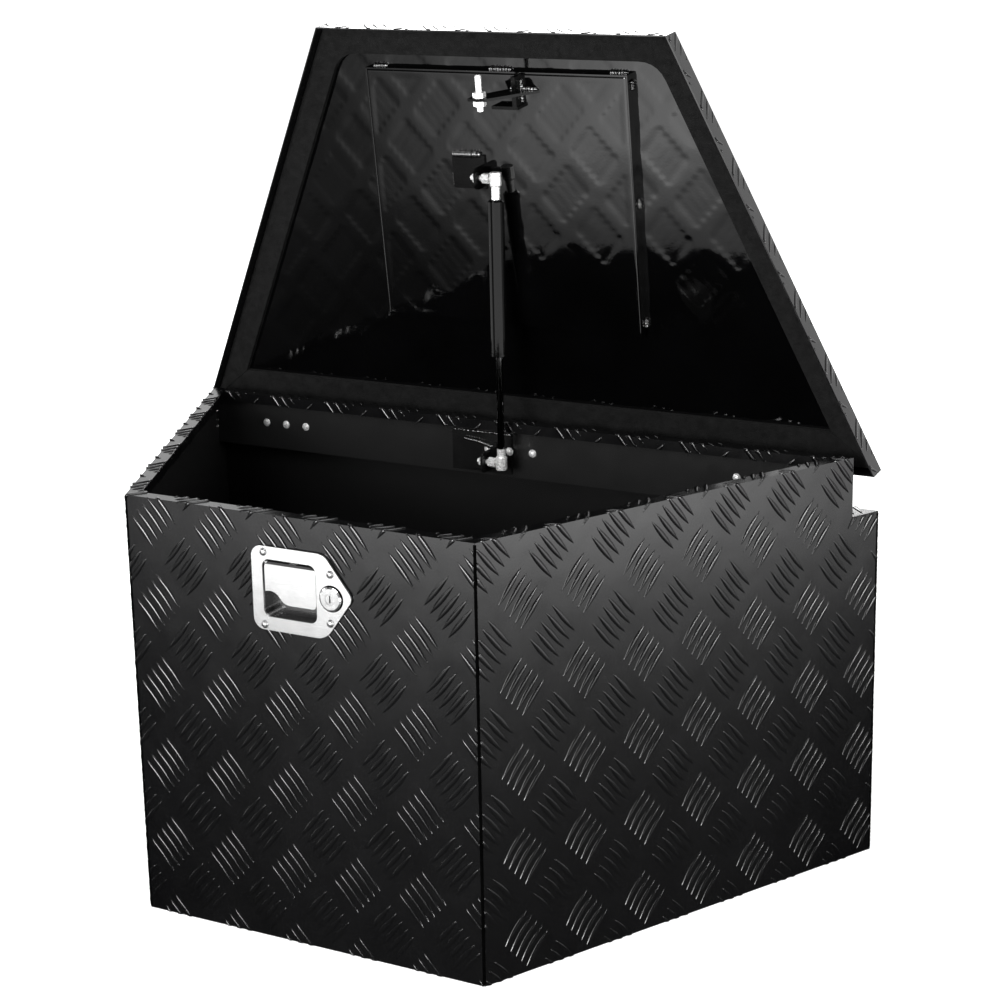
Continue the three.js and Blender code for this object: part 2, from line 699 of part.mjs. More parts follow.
function upperBracket() {
  const y = lidY(STRUT.upper.u);
  const z = lidZ(STRUT.upper.v);
  const face = TRAY_FACE - GAP;
  const foot = box(-57, TAB.near, y - 22, y + 16, face - 2.5, face);
  const shape = new THREE.Shape();
  const radius = 7;
  const low = z - 11;
  shape.moveTo(y - TAB.halfWidth, face - 1);
  shape.lineTo(y - TAB.halfWidth, low + radius);
  shape.absarc(y - TAB.halfWidth + radius, low + radius, radius, Math.PI, 1.5 * Math.PI, false);
  shape.absarc(y + TAB.halfWidth - radius, low + radius, radius, 1.5 * Math.PI, 2 * Math.PI, false);
  shape.lineTo(y + TAB.halfWidth, face - 1);
  const tab = prismX(shape, TAB.near - TAB.thick, TAB.near);
  return cut(union(foot, tab), studBore(y, z));
}

// Threaded stud with a hex shoulder; ball and neck are joined to it at the fixed lower end.
function studBody(y, z, from) {
  const x = STRUT.x;
  const collar = turnedX(cylinderProfile(5.8, x + STUD.collarEnd, x + from), y, z, 6);
  const thread = turnedX(cylinderProfile(3, x + STUD.threadEnd, x + from), y, z, 12);
  return collar.add(thread);
}

function ballAndNeck(y, z, end) {
  const ball = solid(new THREE.SphereGeometry(STRUT.ballRadius, 16, 10).translate(STRUT.x, y, z));
  const neck = turnedX(cylinderProfile(2.5, STRUT.x + end, STRUT.x), y, z, 12);
  return ball.add(neck);
}

function studNut(y, z) {
  const near = TAB.near - TAB.thick - GAP;
  const hex = turnedX(cylinderProfile(5.8, near - 5, near), y, z, 6);
  return hex.subtract(turnedX(cylinderProfile(3.3, near - 6, near + 1), y, z, 12));
}

// ---- Striker ---------------------------------------------------------------------------
function strikerBracket() {
  const face = TRAY_FACE - GAP;
  const z = lidZ(STRIKER.v);
  const arm = prismY([[58, face], [20, face], [-3, z + 9], [-3, z - 6], [18, z - 6]],
    lidY(STRIKER.arm) - 1.5, lidY(STRIKER.arm) + 1.5);
  const web = box(30, 35, lidY(TRAY.far - 3), lidY(STRIKER.foot) + 1.5, face - 12, face);
  const foot = box(4, 36, lidY(STRIKER.foot) - 2, lidY(STRIKER.foot) + 1.5, face - 12, face);
  const bore = turnedY(cylinderProfile(3.8, lidY(STRIKER.arm) - 5, lidY(STRIKER.arm) + 5),
    STRIKER.x, z, 16);
  return cut(union(arm, web, foot), bore);
}

function strikerBolt() {
  const from = lidY(STRIKER.tip);
  const to = lidY(STRIKER.arm) + 13;
  const r = STRIKER.radius;
  return turnedY([
    [0, from], [r - 1, from], [r, from + 1], [r, to], [0, to],
  ], STRIKER.x, lidZ(STRIKER.v), 16);
}

function strikerNut(side) {
  const near = lidY(STRIKER.arm) + side * (1.5 + GAP);
  const far = near + side * 5.5;
  const [low, high] = [Math.min(near, far), Math.max(near, far)];
  const z = lidZ(STRIKER.v);
  const hex = turnedY(cylinderProfile(7.2, low, high), STRIKER.x, z, 6);
  const bore = cylinderProfile(STRIKER.radius + GAP, low - 1, high + 1);
  return hex.subtract(turnedY(bore, STRIKER.x, z, 16));
}

// ---- Gas strut, drawn upright from its lower ball at the local origin --------------------
function turnAboutHinge(u, v) {
  const y = lidY(u) - HINGE.y;
  const z = lidZ(v) - HINGE.z;
  return {
    y: HINGE.y + y * Math.cos(OPEN_ANGLE) + z * Math.sin(OPEN_ANGLE),
    z: HINGE.z - y * Math.sin(OPEN_ANGLE) + z * Math.cos(OPEN_ANGLE),
  };
}

const UPPER_BALL = turnAboutHinge(STRUT.upper.u, STRUT.upper.v);
const STRUT_LENGTH = Math.hypot(UPPER_BALL.y - STRUT.lower.y, UPPER_BALL.z - STRUT.lower.z);
const TUBE_TOP = STRUT_LENGTH - STRUT.tubeTopDrop;
const TUBE_BOTTOM = TUBE_TOP - STRUT.tubeLength;

const strutGroup = new THREE.Group();
strutGroup.position.set(STRUT.x, STRUT.lower.y, STRUT.lower.z);
strutGroup.rotation.x = -Math.atan2(UPPER_BALL.y - STRUT.lower.y, UPPER_BALL.z - STRUT.lower.z);
assembly.add(strutGroup);

// Ball socket at height s, its shank pointing along dir, open towards -X for the stud.
function endSocket(s, dir, shankEnd) {
  const r = STRUT.socketRadius;
  const shank = Math.abs(shankEnd - s);
  const profile = [[0, -7], [r, -7], [r, 7], [4.8, 9], [4.8, shank], [0, shank]];
  const along = profile.map(([radius, d]) => [radius, s + dir * d]);
  const cup = turnedZ(dir > 0 ? along : along.reverse(), 0, 0, 20);
  const pocket = solid(new THREE.SphereGeometry(STRUT.ballRadius + GAP, 16, 10).translate(0, 0, s));
  const mouth = turnedX(cylinderProfile(3.6, -10, 0), 0, s, 16);
  return cut(cup, pocket, mouth);
}

function strutTube() {
  const r = STRUT.tubeRadius;
  return turnedZ([
    [0, TUBE_TOP - 5], [STRUT.tubeBore, TUBE_TOP - 5], [STRUT.tubeBore, TUBE_BOTTOM],
    [r, TUBE_BOTTOM], [r, TUBE_TOP - 2], [r - 2, TUBE_TOP], [0, TUBE_TOP],
  ], 0, 0, 24);
}

function rodGuide() {
  const bore = STRUT.rodRadius + 0.15;
  const low = TUBE_BOTTOM - GAP - 4;
  return turnedZ([
    [bore, low], [STRUT.tubeRadius - 0.6, low], [STRUT.tubeRadius + 0.4, low + 1],
    [STRUT.tubeRadius + 0.4, TUBE_BOTTOM - GAP], [STRUT.tubeBore - GAP, TUBE_BOTTOM - GAP],
    [STRUT.tubeBore - GAP, TUBE_BOTTOM + 9], [bore, TUBE_BOTTOM + 9], [bore, low],
  ], 0, 0, 24);
}

const SHANK_LOW = 17;
const PISTON_LOW = TUBE_BOTTOM + 9 + STRUT.pistonAbove;

function strutRod() {
  return turnedZ(cylinderProfile(STRUT.rodRadius, SHANK_LOW + GAP, PISTON_LOW + 9), 0, 0, 24);
}

function strutPiston() {
  const bore = STRUT.rodRadius + GAP;
  const r = STRUT.tubeBore - GAP;
  return turnedZ([
    [bore, PISTON_LOW], [r, PISTON_LOW], [r, PISTON_LOW + 7], [bore, PISTON_LOW + 7],
    [bore, PISTON_LOW],
  ], 0, 0, 24);
}

// ---- Build -----------------------------------------------------------------------------
const side = toGeometry(sidePanel());
place(assembly, 'front_panel', BLACK, frontPanel());
place(assembly, 'rear_panel', BLACK, rearPanel());
place(assembly, 'right_side_panel', BLACK, side);
place(assembly, 'left_side_panel', BLACK, mirrorX(side));
place(assembly, 'floor_pan', BLACK, floorPan());

['left', 'centre', 'right'].forEach((label, i) => {
  const centre = HINGE.centres[i];
  place(assembly, `hinge_${label}_box_leaf`, SATIN, boxLeaf(centre));
  place(lidFrame, `hinge_${label}_lid_leaf`, SATIN, lidLeaf(centre));
  place(assembly, `hinge_${label}_pin`, ZINC, hingePin(centre));
  for (const step of [-1, 0, 1]) {
    const x = centre + step * HINGE.rivetPitch;
    const underBracket = x === 0 || x === -HINGE.rivetPitch;
    const inside = UPPER_REAR - SHEET - GAP - (underBracket ? 2.5 + GAP : 0);
    const outside = UPPER_REAR + 2 * GAP + HINGE.leaf;
    place(assembly, `hinge_${label}_rivet_${step + 2}`, ZINC,
      rivet(x, HINGE.rivetZ, inside, outside, 2, 4.8));
  }
});

place(assembly, 'latch_dish', STAINLESS, latchDish());
place(assembly, 'latch_gasket', RUBBER, latchGasket());
place(assembly, 'latch_housing', ZINC, latchHousing());
place(assembly, 'paddle_pin', ZINC, paddlePin());
place(assembly, 'paddle', STAINLESS, paddle());
place(assembly, 'paddle_spring', ZINC, paddleSpring());
place(assembly, 'latch_bolt', ZINC, latchBolt());
place(assembly, 'lock_body', STAINLESS, lockBody());
place(assembly, 'lock_plug', STAINLESS, lockPlug());
place(assembly, 'lock_cam', ZINC, lockCam());
place(assembly, 'lock_cam_nut', ZINC, lockCamNut());
place(assembly, 'lock_nut', ZINC, lockNut());
LATCH.rivets.forEach(([x, z], i) => {
  place(assembly, `latch_rivet_${i + 1}`, STAINLESS,
    rivet(x, z, PLATE_FRONT - GAP, LATCH.face + SHEET + GAP, 2, 4.2));
});

place(lidFrame, 'lid_skin', BLACK, lidSkin());
place(lidFrame, 'seal_front_sides', FOAM, sealFrontSides());
place(lidFrame, 'seal_rear', FOAM, sealRear());
place(lidFrame, 'stiffener_tray', BLACK, stiffenerTray());
place(lidFrame, 'strut_bracket_upper', SATIN, upperBracket());
place(lidFrame, 'striker_bracket', SATIN, strikerBracket());
place(lidFrame, 'striker_bolt', ZINC, strikerBolt());
place(lidFrame, 'striker_nut_front', ZINC, strikerNut(-1));
place(lidFrame, 'striker_nut_rear', ZINC, strikerNut(1));

const upperY = lidY(STRUT.upper.u);
const upperZ = lidZ(STRUT.upper.v);
place(lidFrame, 'strut_stud_upper', ZINC, studBody(upperY, upperZ, STUD.neckEnd - GAP));
place(lidFrame, 'strut_nut_upper', ZINC, studNut(upperY, upperZ));

place(assembly, 'strut_bracket_lower', SATIN, lowerBracket());
place(assembly, 'strut_stud_lower', ZINC, union(
  studBody(STRUT.lower.y, STRUT.lower.z, STUD.neckEnd),
  ballAndNeck(STRUT.lower.y, STRUT.lower.z, STUD.neckEnd - 1),
));
place(assembly, 'strut_nut_lower', ZINC, studNut(STRUT.lower.y, STRUT.lower.z));

place(strutGroup, 'strut_socket_lower', ZINC, endSocket(0, 1, SHANK_LOW));
place(strutGroup, 'strut_rod', ZINC, strutRod());
place(strutGroup, 'strut_piston', ZINC, strutPiston());
place(strutGroup, 'strut_tube', SATIN, strutTube());
place(strutGroup, 'strut_rod_guide', SATIN, rodGuide());
place(strutGroup, 'strut_socket_upper', ZINC, endSocket(STRUT_LENGTH, -1, TUBE_TOP + GAP));
const upperBall = toGeometry(ballAndNeck(0, STRUT_LENGTH, STUD.neckEnd));
place(strutGroup, 'strut_ball_upper', ZINC, upperBall.translate(-STRUT.x, 0, 0));

export default assembly;
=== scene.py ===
import json
import math
import random

import bmesh
import bpy
import numpy as np
from mathutils import Matrix, Vector


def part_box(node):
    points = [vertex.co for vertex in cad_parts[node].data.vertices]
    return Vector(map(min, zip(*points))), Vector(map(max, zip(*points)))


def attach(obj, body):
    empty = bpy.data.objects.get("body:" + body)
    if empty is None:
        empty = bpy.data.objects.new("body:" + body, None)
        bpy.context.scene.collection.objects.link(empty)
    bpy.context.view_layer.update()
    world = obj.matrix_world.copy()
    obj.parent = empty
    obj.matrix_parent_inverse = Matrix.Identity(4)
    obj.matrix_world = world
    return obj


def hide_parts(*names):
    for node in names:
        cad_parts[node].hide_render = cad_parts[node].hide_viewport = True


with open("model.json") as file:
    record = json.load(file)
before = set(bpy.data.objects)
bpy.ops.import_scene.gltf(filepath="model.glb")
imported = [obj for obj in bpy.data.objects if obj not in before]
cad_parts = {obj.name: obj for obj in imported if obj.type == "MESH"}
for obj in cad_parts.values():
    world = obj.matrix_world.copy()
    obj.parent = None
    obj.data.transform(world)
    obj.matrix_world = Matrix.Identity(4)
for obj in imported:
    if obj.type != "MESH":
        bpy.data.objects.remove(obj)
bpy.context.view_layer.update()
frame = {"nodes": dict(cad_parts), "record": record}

# Lengths below are in millimetres, as in the CAD source, and become metres in new_piece().
MM = 0.001
NODES = frame["nodes"]
JOINTS = {j["name"]: j for j in frame["record"]["behaviour"]["joints"]}

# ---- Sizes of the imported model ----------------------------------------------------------
FRONT = -241.0
REAR = 241.0
HEIGHT = 457.0
HALF_FRONT = 204.25
SPREAD = 0.463174                 # half width gained per millimetre towards the rear
SIDE_ANGLE = math.atan(SPREAD)
SLANT = math.hypot(1, SPREAD)
FLANGE = 15.0
LIP = 11.0
LEDGE_Z = 392.0
NOTCH = 35.0
UPPER_REAR = REAR - NOTCH

LID_FRONT = -250.5
LID_REAR = 213.5
LID_BOTTOM = 443.8
LID_TOP = 465.8
LID_HALF_FRONT = 214.75
LID_SPREAD = 215 / 464
LID_SLANT = math.hypot(1, LID_SPREAD)
SKIN_UNDER = 464.3
TRAY = {"left": -161.0, "right": 163.0, "near": 131.0, "far": 419.0, "face": 452.3}

HINGE_POS = Vector(JOINTS["lid_hinge"]["pos_m"])
OPEN_ANGLE = math.radians(JOINTS["lid_hinge"]["range_deg"][1])
HINGE_CENTRES = {"left": -307.0, "centre": 0.0, "right": 307.0}
LID_OPEN = (Matrix.Translation(HINGE_POS) @ Matrix.Rotation(-OPEN_ANGLE, 4, "X")
            @ Matrix.Translation(-HINGE_POS))


def half_width(y):
    return HALF_FRONT + SPREAD * (y - FRONT)


def lid_half(y):
    return LID_HALF_FRONT + LID_SPREAD * (y - LID_FRONT)


# ---- Camera -----------------------------------------------------------------------------
FOCAL_LENGTH, SENSOR_WIDTH = 84.66, 36.0
CAMERA_AT = (1.2519, -2.0731, 1.0848)
CAMERA_TURN = (29.10, 15.52, -1.11)  # azimuth, elevation and roll, in degrees


def make_camera():
    data = bpy.data.cameras.new("camera")
    data.lens = FOCAL_LENGTH
    data.sensor_width = SENSOR_WIDTH
    data.clip_start, data.clip_end = 0.05, 60
    cam = bpy.data.objects.new("camera", data)
    bpy.context.scene.collection.objects.link(cam)
    azimuth, elevation, roll = (math.radians(d) for d in CAMERA_TURN)
    back = Vector((math.sin(azimuth) * math.cos(elevation),
                   -math.cos(azimuth) * math.cos(elevation), math.sin(elevation)))
    right = Vector((math.cos(azimuth), math.sin(azimuth), 0))
    up = back.cross(right)
    turned_right = math.cos(roll) * right + math.sin(roll) * up
    turned_up = -math.sin(roll) * right + math.cos(roll) * up
    cam.matrix_world = Matrix.Translation(CAMERA_AT) @ Matrix(
        (turned_right, turned_up, back)).transposed().to_4x4()
    bpy.context.scene.camera = cam


make_camera()


# ---- Node helpers -----------------------------------------------------------------------
class Nodes:
    """A material's node tree, with the object's own position as the pattern coordinate."""

    def __init__(self, name):
        self.material = bpy.data.materials.new(name)
        self.material.use_nodes = True
        self.tree = self.material.node_tree
        self.shader = self.tree.nodes["Principled BSDF"]
        self.place = self.tree.nodes.new("ShaderNodeTexCoord").outputs["Object"]

    def link(self, a, b):
        self.tree.links.new(a, b)

    def stretch(self, scale):
        mapping = self.tree.nodes.new("ShaderNodeMapping")
        mapping.inputs["Scale"].default_value = scale
        self.link(self.place, mapping.inputs["Vector"])
        return mapping.outputs["Vector"]

    def noise(self, scale, detail=3.0, rough=0.55, place=None):
        node = self.tree.nodes.new("ShaderNodeTexNoise")
        node.inputs["Scale"].default_value = scale
        node.inputs["Detail"].default_value = detail
        node.inputs["Roughness"].default_value = rough
        self.link(place or self.place, node.inputs["Vector"])
        return node.outputs["Fac"]

    def cells(self, scale):
        node = self.tree.nodes.new("ShaderNodeTexVoronoi")
        node.inputs["Scale"].default_value = scale
        self.link(self.place, node.inputs["Vector"])
        return node.outputs["Distance"]

    def spread(self, value, low, high, start=0.3, end=0.7):
        node = self.tree.nodes.new("ShaderNodeMapRange")
        node.inputs["From Min"].default_value = start
        node.inputs["From Max"].default_value = end
        node.inputs["To Min"].default_value = low
        node.inputs["To Max"].default_value = high
        self.link(value, node.inputs["Value"])
        return node.outputs["Result"]

    def colours(self, value, low, high):
        node = self.tree.nodes.new("ShaderNodeValToRGB")
        node.color_ramp.elements[0].position = 0.3
        node.color_ramp.elements[1].position = 0.7
        node.color_ramp.elements[0].color = (*low, 1)
        node.color_ramp.elements[1].color = (*high, 1)
        self.link(value, node.inputs["Fac"])
        self.link(node.outputs["Color"], self.shader.inputs["Base Color"])

    def rough(self, value):
        self.link(value, self.shader.inputs["Roughness"])

    def bump(self, *layers):
        """Each layer is (height, distance in metres, strength); later ones ride on earlier ones."""
        normal = None
        for height, distance, strength in layers:
            node = self.tree.nodes.new("ShaderNodeBump")
            node.inputs["Distance"].default_value = distance
            node.inputs["Strength"].default_value = strength
            self.link(height, node.inputs["Height"])
            if normal:
                self.link(normal, node.inputs["Normal"])
            normal = node.outputs["Normal"]
        self.link(normal, self.shader.inputs["Normal"])

    def set(self, **values):
        for name, value in values.items():
            self.shader.inputs[name.replace("_", " ")].default_value = value


def math_node(tree, operation, *inputs):
    node = tree.nodes.new("ShaderNodeMath")
    node.operation = operation
    for socket, value in zip(node.inputs, inputs):
        if isinstance(value, (int, float)):
            socket.default_value = value
        else:
            tree.links.new(value, socket)
    return node.outputs[0]


def ramp_node(tree, value, start, end, low, high):
    node = tree.nodes.new("ShaderNodeMapRange")
    node.interpolation_type = "SMOOTHSTEP"
    for name, number in (("From Min", start), ("From Max", end), ("To Min", low),
                         ("To Max", high)):
        node.inputs[name].default_value = number
    tree.links.new(value, node.inputs["Value"])
    return node.outputs["Result"]


def place_axes(tree):
    """X, Y and Z of the object's own position."""
    axes = tree.nodes.new("ShaderNodeSeparateXYZ")
    tree.links.new(tree.nodes.new("ShaderNodeTexCoord").outputs["Object"], axes.inputs[0])
    return [axes.outputs[name] for name in "XYZ"]


# A Mix node's colour sockets go by number, since its other kinds have the same names.
MIX_FIRST, MIX_SECOND, MIX_RESULT = 6, 7, 2


def tint(material, factor, colour):
    """Mixes a plain colour into a material's base colour, by the factor."""
    tree = material.node_tree
    base = tree.nodes["Principled BSDF"].inputs["Base Color"]
    mix = tree.nodes.new("ShaderNodeMix")
    mix.data_type = "RGBA"
    tree.links.new(factor, mix.inputs["Factor"])
    tree.links.new(base.links[0].from_socket, mix.inputs[MIX_FIRST])
    mix.inputs[MIX_SECOND].default_value = (*colour, 1)
    tree.links.new(mix.outputs[MIX_RESULT], base)


def powder_coat(name, low, high, rough_low, rough_high, peel, ior):
    n = Nodes(name)
    n.colours(n.noise(9, 4), low, high)
    n.rough(n.spread(n.noise(38, 4), rough_low, rough_high))
    n.bump((n.noise(14, 2), 0.004, 0.10), (n.noise(520, 2, 0.4), 0.0002, peel))
    n.set(IOR=ior)
    return n.material


# Greyer colour for the faces inside the box: painted light, standing in for light the lamps do not
# bring there.
INSIDE_PAINTED_LIGHT_GREY = (0.011, 0.011, 0.011)
INSIDE_FADE = (0.0008, 0.0014)  # metres in from the box's outer faces


def painted_lit_inside_coat():
    """The same coat, with a greyer base colour painted on every face that looks into the box:
    painted light that brightens the box's inside.
    """
    material = COAT.copy()
    material.name = "black_coat_panels"
    tree = material.node_tree
    x, y, z = place_axes(tree)
    upper = math_node(tree, "GREATER_THAN", z, (LEDGE_Z - 1) * MM)
    rear = math_node(tree, "SUBTRACT", REAR * MM, y)
    rear = math_node(tree, "SUBTRACT", rear, math_node(tree, "MULTIPLY", upper, NOTCH * MM))
    front = math_node(tree, "SUBTRACT", y, FRONT * MM)
    half = math_node(tree, "MULTIPLY_ADD", front, SPREAD, HALF_FRONT * MM)
    side = math_node(tree, "SUBTRACT", half, math_node(tree, "ABSOLUTE", x))
    top = math_node(tree, "SUBTRACT", (HEIGHT - LIP) * MM, z)
    nearest = math_node(tree, "MINIMUM", front, rear)
    for other in (side, top, z):
        nearest = math_node(tree, "MINIMUM", nearest, other)
    # Painted light: the greyer colour fades in on the faces that look into the box.
    tint(material, ramp_node(tree, nearest, *INSIDE_FADE, 0.0, 1.0), INSIDE_PAINTED_LIGHT_GREY)
    return material


def bare_metal(name, low, high, rough_low, rough_high, grain, grain_scale, grain_strength,
               metal=1.0):
    n = Nodes(name)
    streaks = n.noise(grain_scale, 3, 0.6, n.stretch(grain))
    n.colours(n.noise(60, 4), low, high)
    n.rough(n.spread(streaks, rough_low, rough_high))
    n.bump((streaks, 0.0002, grain_strength), (n.noise(90, 2), 0.0004, 0.12))
    n.set(Metallic=metal)
    return n.material


def foam_rubber(name, low, high, cell_scale, depth, strength, rough_low, rough_high,
                shine=0.5):
    n = Nodes(name)
    n.colours(n.noise(120, 4), low, high)
    n.rough(n.spread(n.noise(300, 3), rough_low, rough_high))
    n.bump((n.noise(40, 3), 0.001, 0.3), (n.cells(cell_scale), depth, strength))
    n.set(Sheen_Weight=0.04 * shine, Sheen_Roughness=0.6, IOR=1.27, Specular_IOR_Level=shine)
    return n.material


COAT = powder_coat("black_coat", (0.0012, 0.0012, 0.0013), (0.0022, 0.0022, 0.0024),
                   0.16, 0.22, 0.07, 1.5)
PANEL = painted_lit_inside_coat()
GLOSS = powder_coat("gloss_coat", (0.0004, 0.0004, 0.0004), (0.0009, 0.0009, 0.001),
                    0.03, 0.06, 0.08, 1.42)
SATIN = powder_coat("satin_black", (0.004, 0.004, 0.004), (0.006, 0.006, 0.006),
                    0.14, 0.26, 0.3, 1.33)
BRACKET = powder_coat("bracket_black", (0.001, 0.001, 0.001), (0.002, 0.002, 0.002),
                      0.10, 0.20, 0.3, 1.2)
WELD = powder_coat("painted_weld", (0.002, 0.002, 0.002), (0.005, 0.005, 0.005),
                   0.06, 0.16, 0.9, 1.95)
TUBE = powder_coat("tube_black", (0.001, 0.001, 0.001), (0.002, 0.002, 0.002),
                   0.04, 0.08, 0.1, 1.2)
STAINLESS = bare_metal("stainless", (0.86, 0.86, 0.86), (0.93, 0.93, 0.93), 0.12, 0.22,
                       (1, 1, 14), 90, 0.10, 0.93)
ZINC = bare_metal("bright_zinc", (0.72, 0.72, 0.72), (0.90, 0.90, 0.89), 0.20, 0.36,
                  (1, 1, 1), 260, 0.18, 0.6)
NITRIDED = bare_metal("nitrided_rod", (0.06, 0.06, 0.06), (0.09, 0.09, 0.09), 0.06, 0.12,
                      (1, 1, 9), 300, 0.05)
FOAM = foam_rubber("foam_seal", (0.002, 0.002, 0.002), (0.005, 0.005, 0.005), 1100, 0.0006, 0.6,
                   0.75, 0.95, 0.22)
# Black stuff that catches no light, for lines standing in for shade: painted shade in the corner
# gaps and round the lock.
SHADE_BLACK = foam_rubber("painted_gap_shade", (0.0005, 0.0005, 0.0005), (0.001, 0.001, 0.001), 900, 0.0001,
                    0.2, 0.7, 0.85, 0.0)
RUBBER = foam_rubber("rubber_gasket", (0.008, 0.008, 0.008), (0.016, 0.016, 0.016), 700, 0.0002,
                     0.3, 0.55, 0.75)


# Colour of the painted shade in the latch's cup and round the paddle.
PAINTED_SHADE_GREY = (0.06, 0.06, 0.06)


def steel_with_painted_shade(name, axis, start, end, amount):
    """Polished plate that turns dark grey along one axis: painted shade in the latch's recesses."""
    material = STAINLESS.copy()
    material.name = name
    tree = material.node_tree
    along = place_axes(tree)["XYZ".index(axis)]
    tint(material, ramp_node(tree, along, start, end, 0.0, amount), PAINTED_SHADE_GREY)
    return material


DISH_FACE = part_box("latch_dish")[0].y
PADDLE_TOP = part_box("paddle")[1].z
# Painted shade: the dish turns dark where it sinks behind the plate's face, into the cup.
DISH = steel_with_painted_shade("latch_dish_painted_shade", "Y", DISH_FACE + 0.0006, DISH_FACE + 0.0035, 0.9)
# Painted shade: the paddle turns dark along its top edge, where the gap above it lies in shade.
PADDLE = steel_with_painted_shade("paddle_painted_shade", "Z", PADDLE_TOP - 0.0042, PADDLE_TOP - 0.0034, 1.0)
LOCK = bare_metal("lock_steel", (0.70, 0.70, 0.70), (0.78, 0.78, 0.78), 0.16, 0.28,
                  (1, 1, 1), 240, 0.12)


# ---- Pieces -----------------------------------------------------------------------------
def new_piece(name, vertices, faces, material, body, lid=False):
    """Makes a mesh object from millimetre points in the row frame, or in the closed lid's."""
    mesh = bpy.data.meshes.new(name)
    points = np.asarray(vertices, float) * MM
    if lid:
        turn = np.array(LID_OPEN)
        points = points @ turn[:3, :3].T + turn[:3, 3]
    mesh.from_pydata(points.tolist(), [], faces)
    mesh.validate()
    mesh.update()
    obj = bpy.data.objects.new(name, mesh)
    bpy.context.scene.collection.objects.link(obj)
    mesh.materials.append(material)
    mesh.shade_smooth()
    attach(obj, body)
    return obj


def from_bmesh(bm, name, material, body, lid=False):
    bmesh.ops.recalc_face_normals(bm, faces=bm.faces)
    bm.verts.ensure_lookup_table()
    vertices = [tuple(v.co) for v in bm.verts]
    faces = [[v.index for v in f.verts] for f in bm.faces]
    bm.free()
    return new_piece(name, vertices, faces, material, body, lid)


def soften(obj, width, segments=3, angle=35):
    """Rounds an object's sharp edges; its mesh stays as it is."""
    bevel = obj.modifiers.new("edges", "BEVEL")
    bevel.width = width * MM
    bevel.segments = segments
    bevel.limit_method = "ANGLE"
    bevel.angle_limit = math.radians(angle)
    bevel.harden_normals = False
    bevel.miter_outer = "MITER_ARC"


# ---- Tread plate ------------------------------------------------------------------------
# Five-bar plate: '/' and '\' clusters on one centred lattice, in the sheet's flat coordinates.
PITCH_S, PITCH_T = 76.5, 89.0
BAR_HALF = 22.6
BAR_WIDE = 3.1
BAR_HIGH = 1.45
BARS = {                          # direction of a bar, and step to its neighbour
    1: (Vector((0.6413, 0.7673)), Vector((6.5, -7.2))),
    -1: (Vector((0.6435, -0.7655)), Vector((6.7, 7.4))),
}
BAR_ROOT = -0.25                  # the bars' closed underside, inside the sheet
BAR_TIP = 0.05                    # half width under which a bar ends in one point
SHORTEST_RUN = 0.12
STATIONS = 16
# Half of the bar's section: share of the half width, and share of the height.
HALF_SECTION = ((0.34, 0.97), (0.58, 0.80), (0.80, 0.38), (0.97, 0.02))
BAR_SECTION = ((-1, None), *((-q, lift) for q, lift in reversed(HALF_SECTION)),
               *HALF_SECTION, (1, None))


def lattice(origins, s_span, t_span):
    """Centres and directions of the bars whose clusters lie near the given spans."""
    found = []
    for lean, (s0, t0) in origins.items():
        direction, step = BARS[lean]
        i_low = math.floor((s_span[0] - s0) / PITCH_S) - 1
        i_high = math.ceil((s_span[1] - s0) / PITCH_S) + 1
        j_low = math.floor((t_span[0] - t0) / PITCH_T) - 1
        j_high = math.ceil((t_span[1] - t0) / PITCH_T) + 1
        for i in range(i_low, i_high + 1):
            for j in range(j_low, j_high + 1):
                centre = Vector((s0 + i * PITCH_S, t0 + j * PITCH_T))
                for k in range(-2, 3):
                    found.append((centre + k * step, direction))
    return found


def both_leans(lean_back_s, lean_back_t):
    """Origins of the two cluster lattices, from one cluster of '\\' bars."""
    return {-1: (lean_back_s, lean_back_t),
            1: (lean_back_s + PITCH_S / 2, lean_back_t - PITCH_T / 2)}


def inside_polygon(point, polygon):
    """True where a point is inside a convex polygon listed anticlockwise."""
    for (ax, ay), (bx, by) in zip(polygon, polygon[1:] + polygon[:1]):
        if (bx - ax) * (point[1] - ay) - (by - ay) * (point[0] - ax) < 0:
            return False
    return True


def open_runs(centre, direction, voids):
    """The parts of a bar, from -1 to 1 along it, that lie outside every void."""
    samples = np.linspace(-1, 1, 61)
    free = []
    for p in samples:
        at = centre + direction * (p * BAR_HALF)
        free.append(not any(inside_polygon(at, polygon) for polygon in voids))
    runs, start = [], None
    for p, ok in zip(samples, free):
        if ok and start is None:
            start = p
        if not ok and start is not None:
            runs.append((start, p))
            start = None
    if start is not None:
        runs.append((start, 1.0))
    return [(a, b) for a, b in runs if b - a > SHORTEST_RUN]


def add_bar(bm, centre, direction, run, high):
    """One raised bar: a lens in plan with a rounded top, closed underneath inside the sheet."""
    across = Vector((-direction.y, direction.x))
    rows = []
    for i in range(STATIONS):
        p = run[0] + (run[1] - run[0]) * i / (STATIONS - 1)
        wide = BAR_WIDE * max(0.0, 1 - p * p)
        tall = high * max(0.0, 1 - abs(p) ** 5)
        middle = centre + direction * (p * BAR_HALF)
        if wide < BAR_TIP:
            rows.append([bm.verts.new((middle.x, middle.y, BAR_ROOT))])
            continue
        row = []
        for q, lift in BAR_SECTION:
            at = middle + across * (q * wide)
            row.append(bm.verts.new((at.x, at.y, lift * tall if lift else BAR_ROOT)))
        rows.append(row)
    for a, b in zip(rows, rows[1:]):
        if len(a) == 1 and len(b) == 1:
            continue
        if len(a) == 1 or len(b) == 1:
            tip, ring = (a[0], b) if len(a) == 1 else (b[0], a)
            for k in range(len(ring)):
                bm.faces.new((tip, ring[k], ring[(k + 1) % len(ring)]))
        else:
            for k in range(len(a)):
                n = (k + 1) % len(a)
                bm.faces.new((a[k], a[n], b[n], b[k]))
    for row in (rows[0], rows[-1]):
        if len(row) > 1:
            bm.faces.new(row)


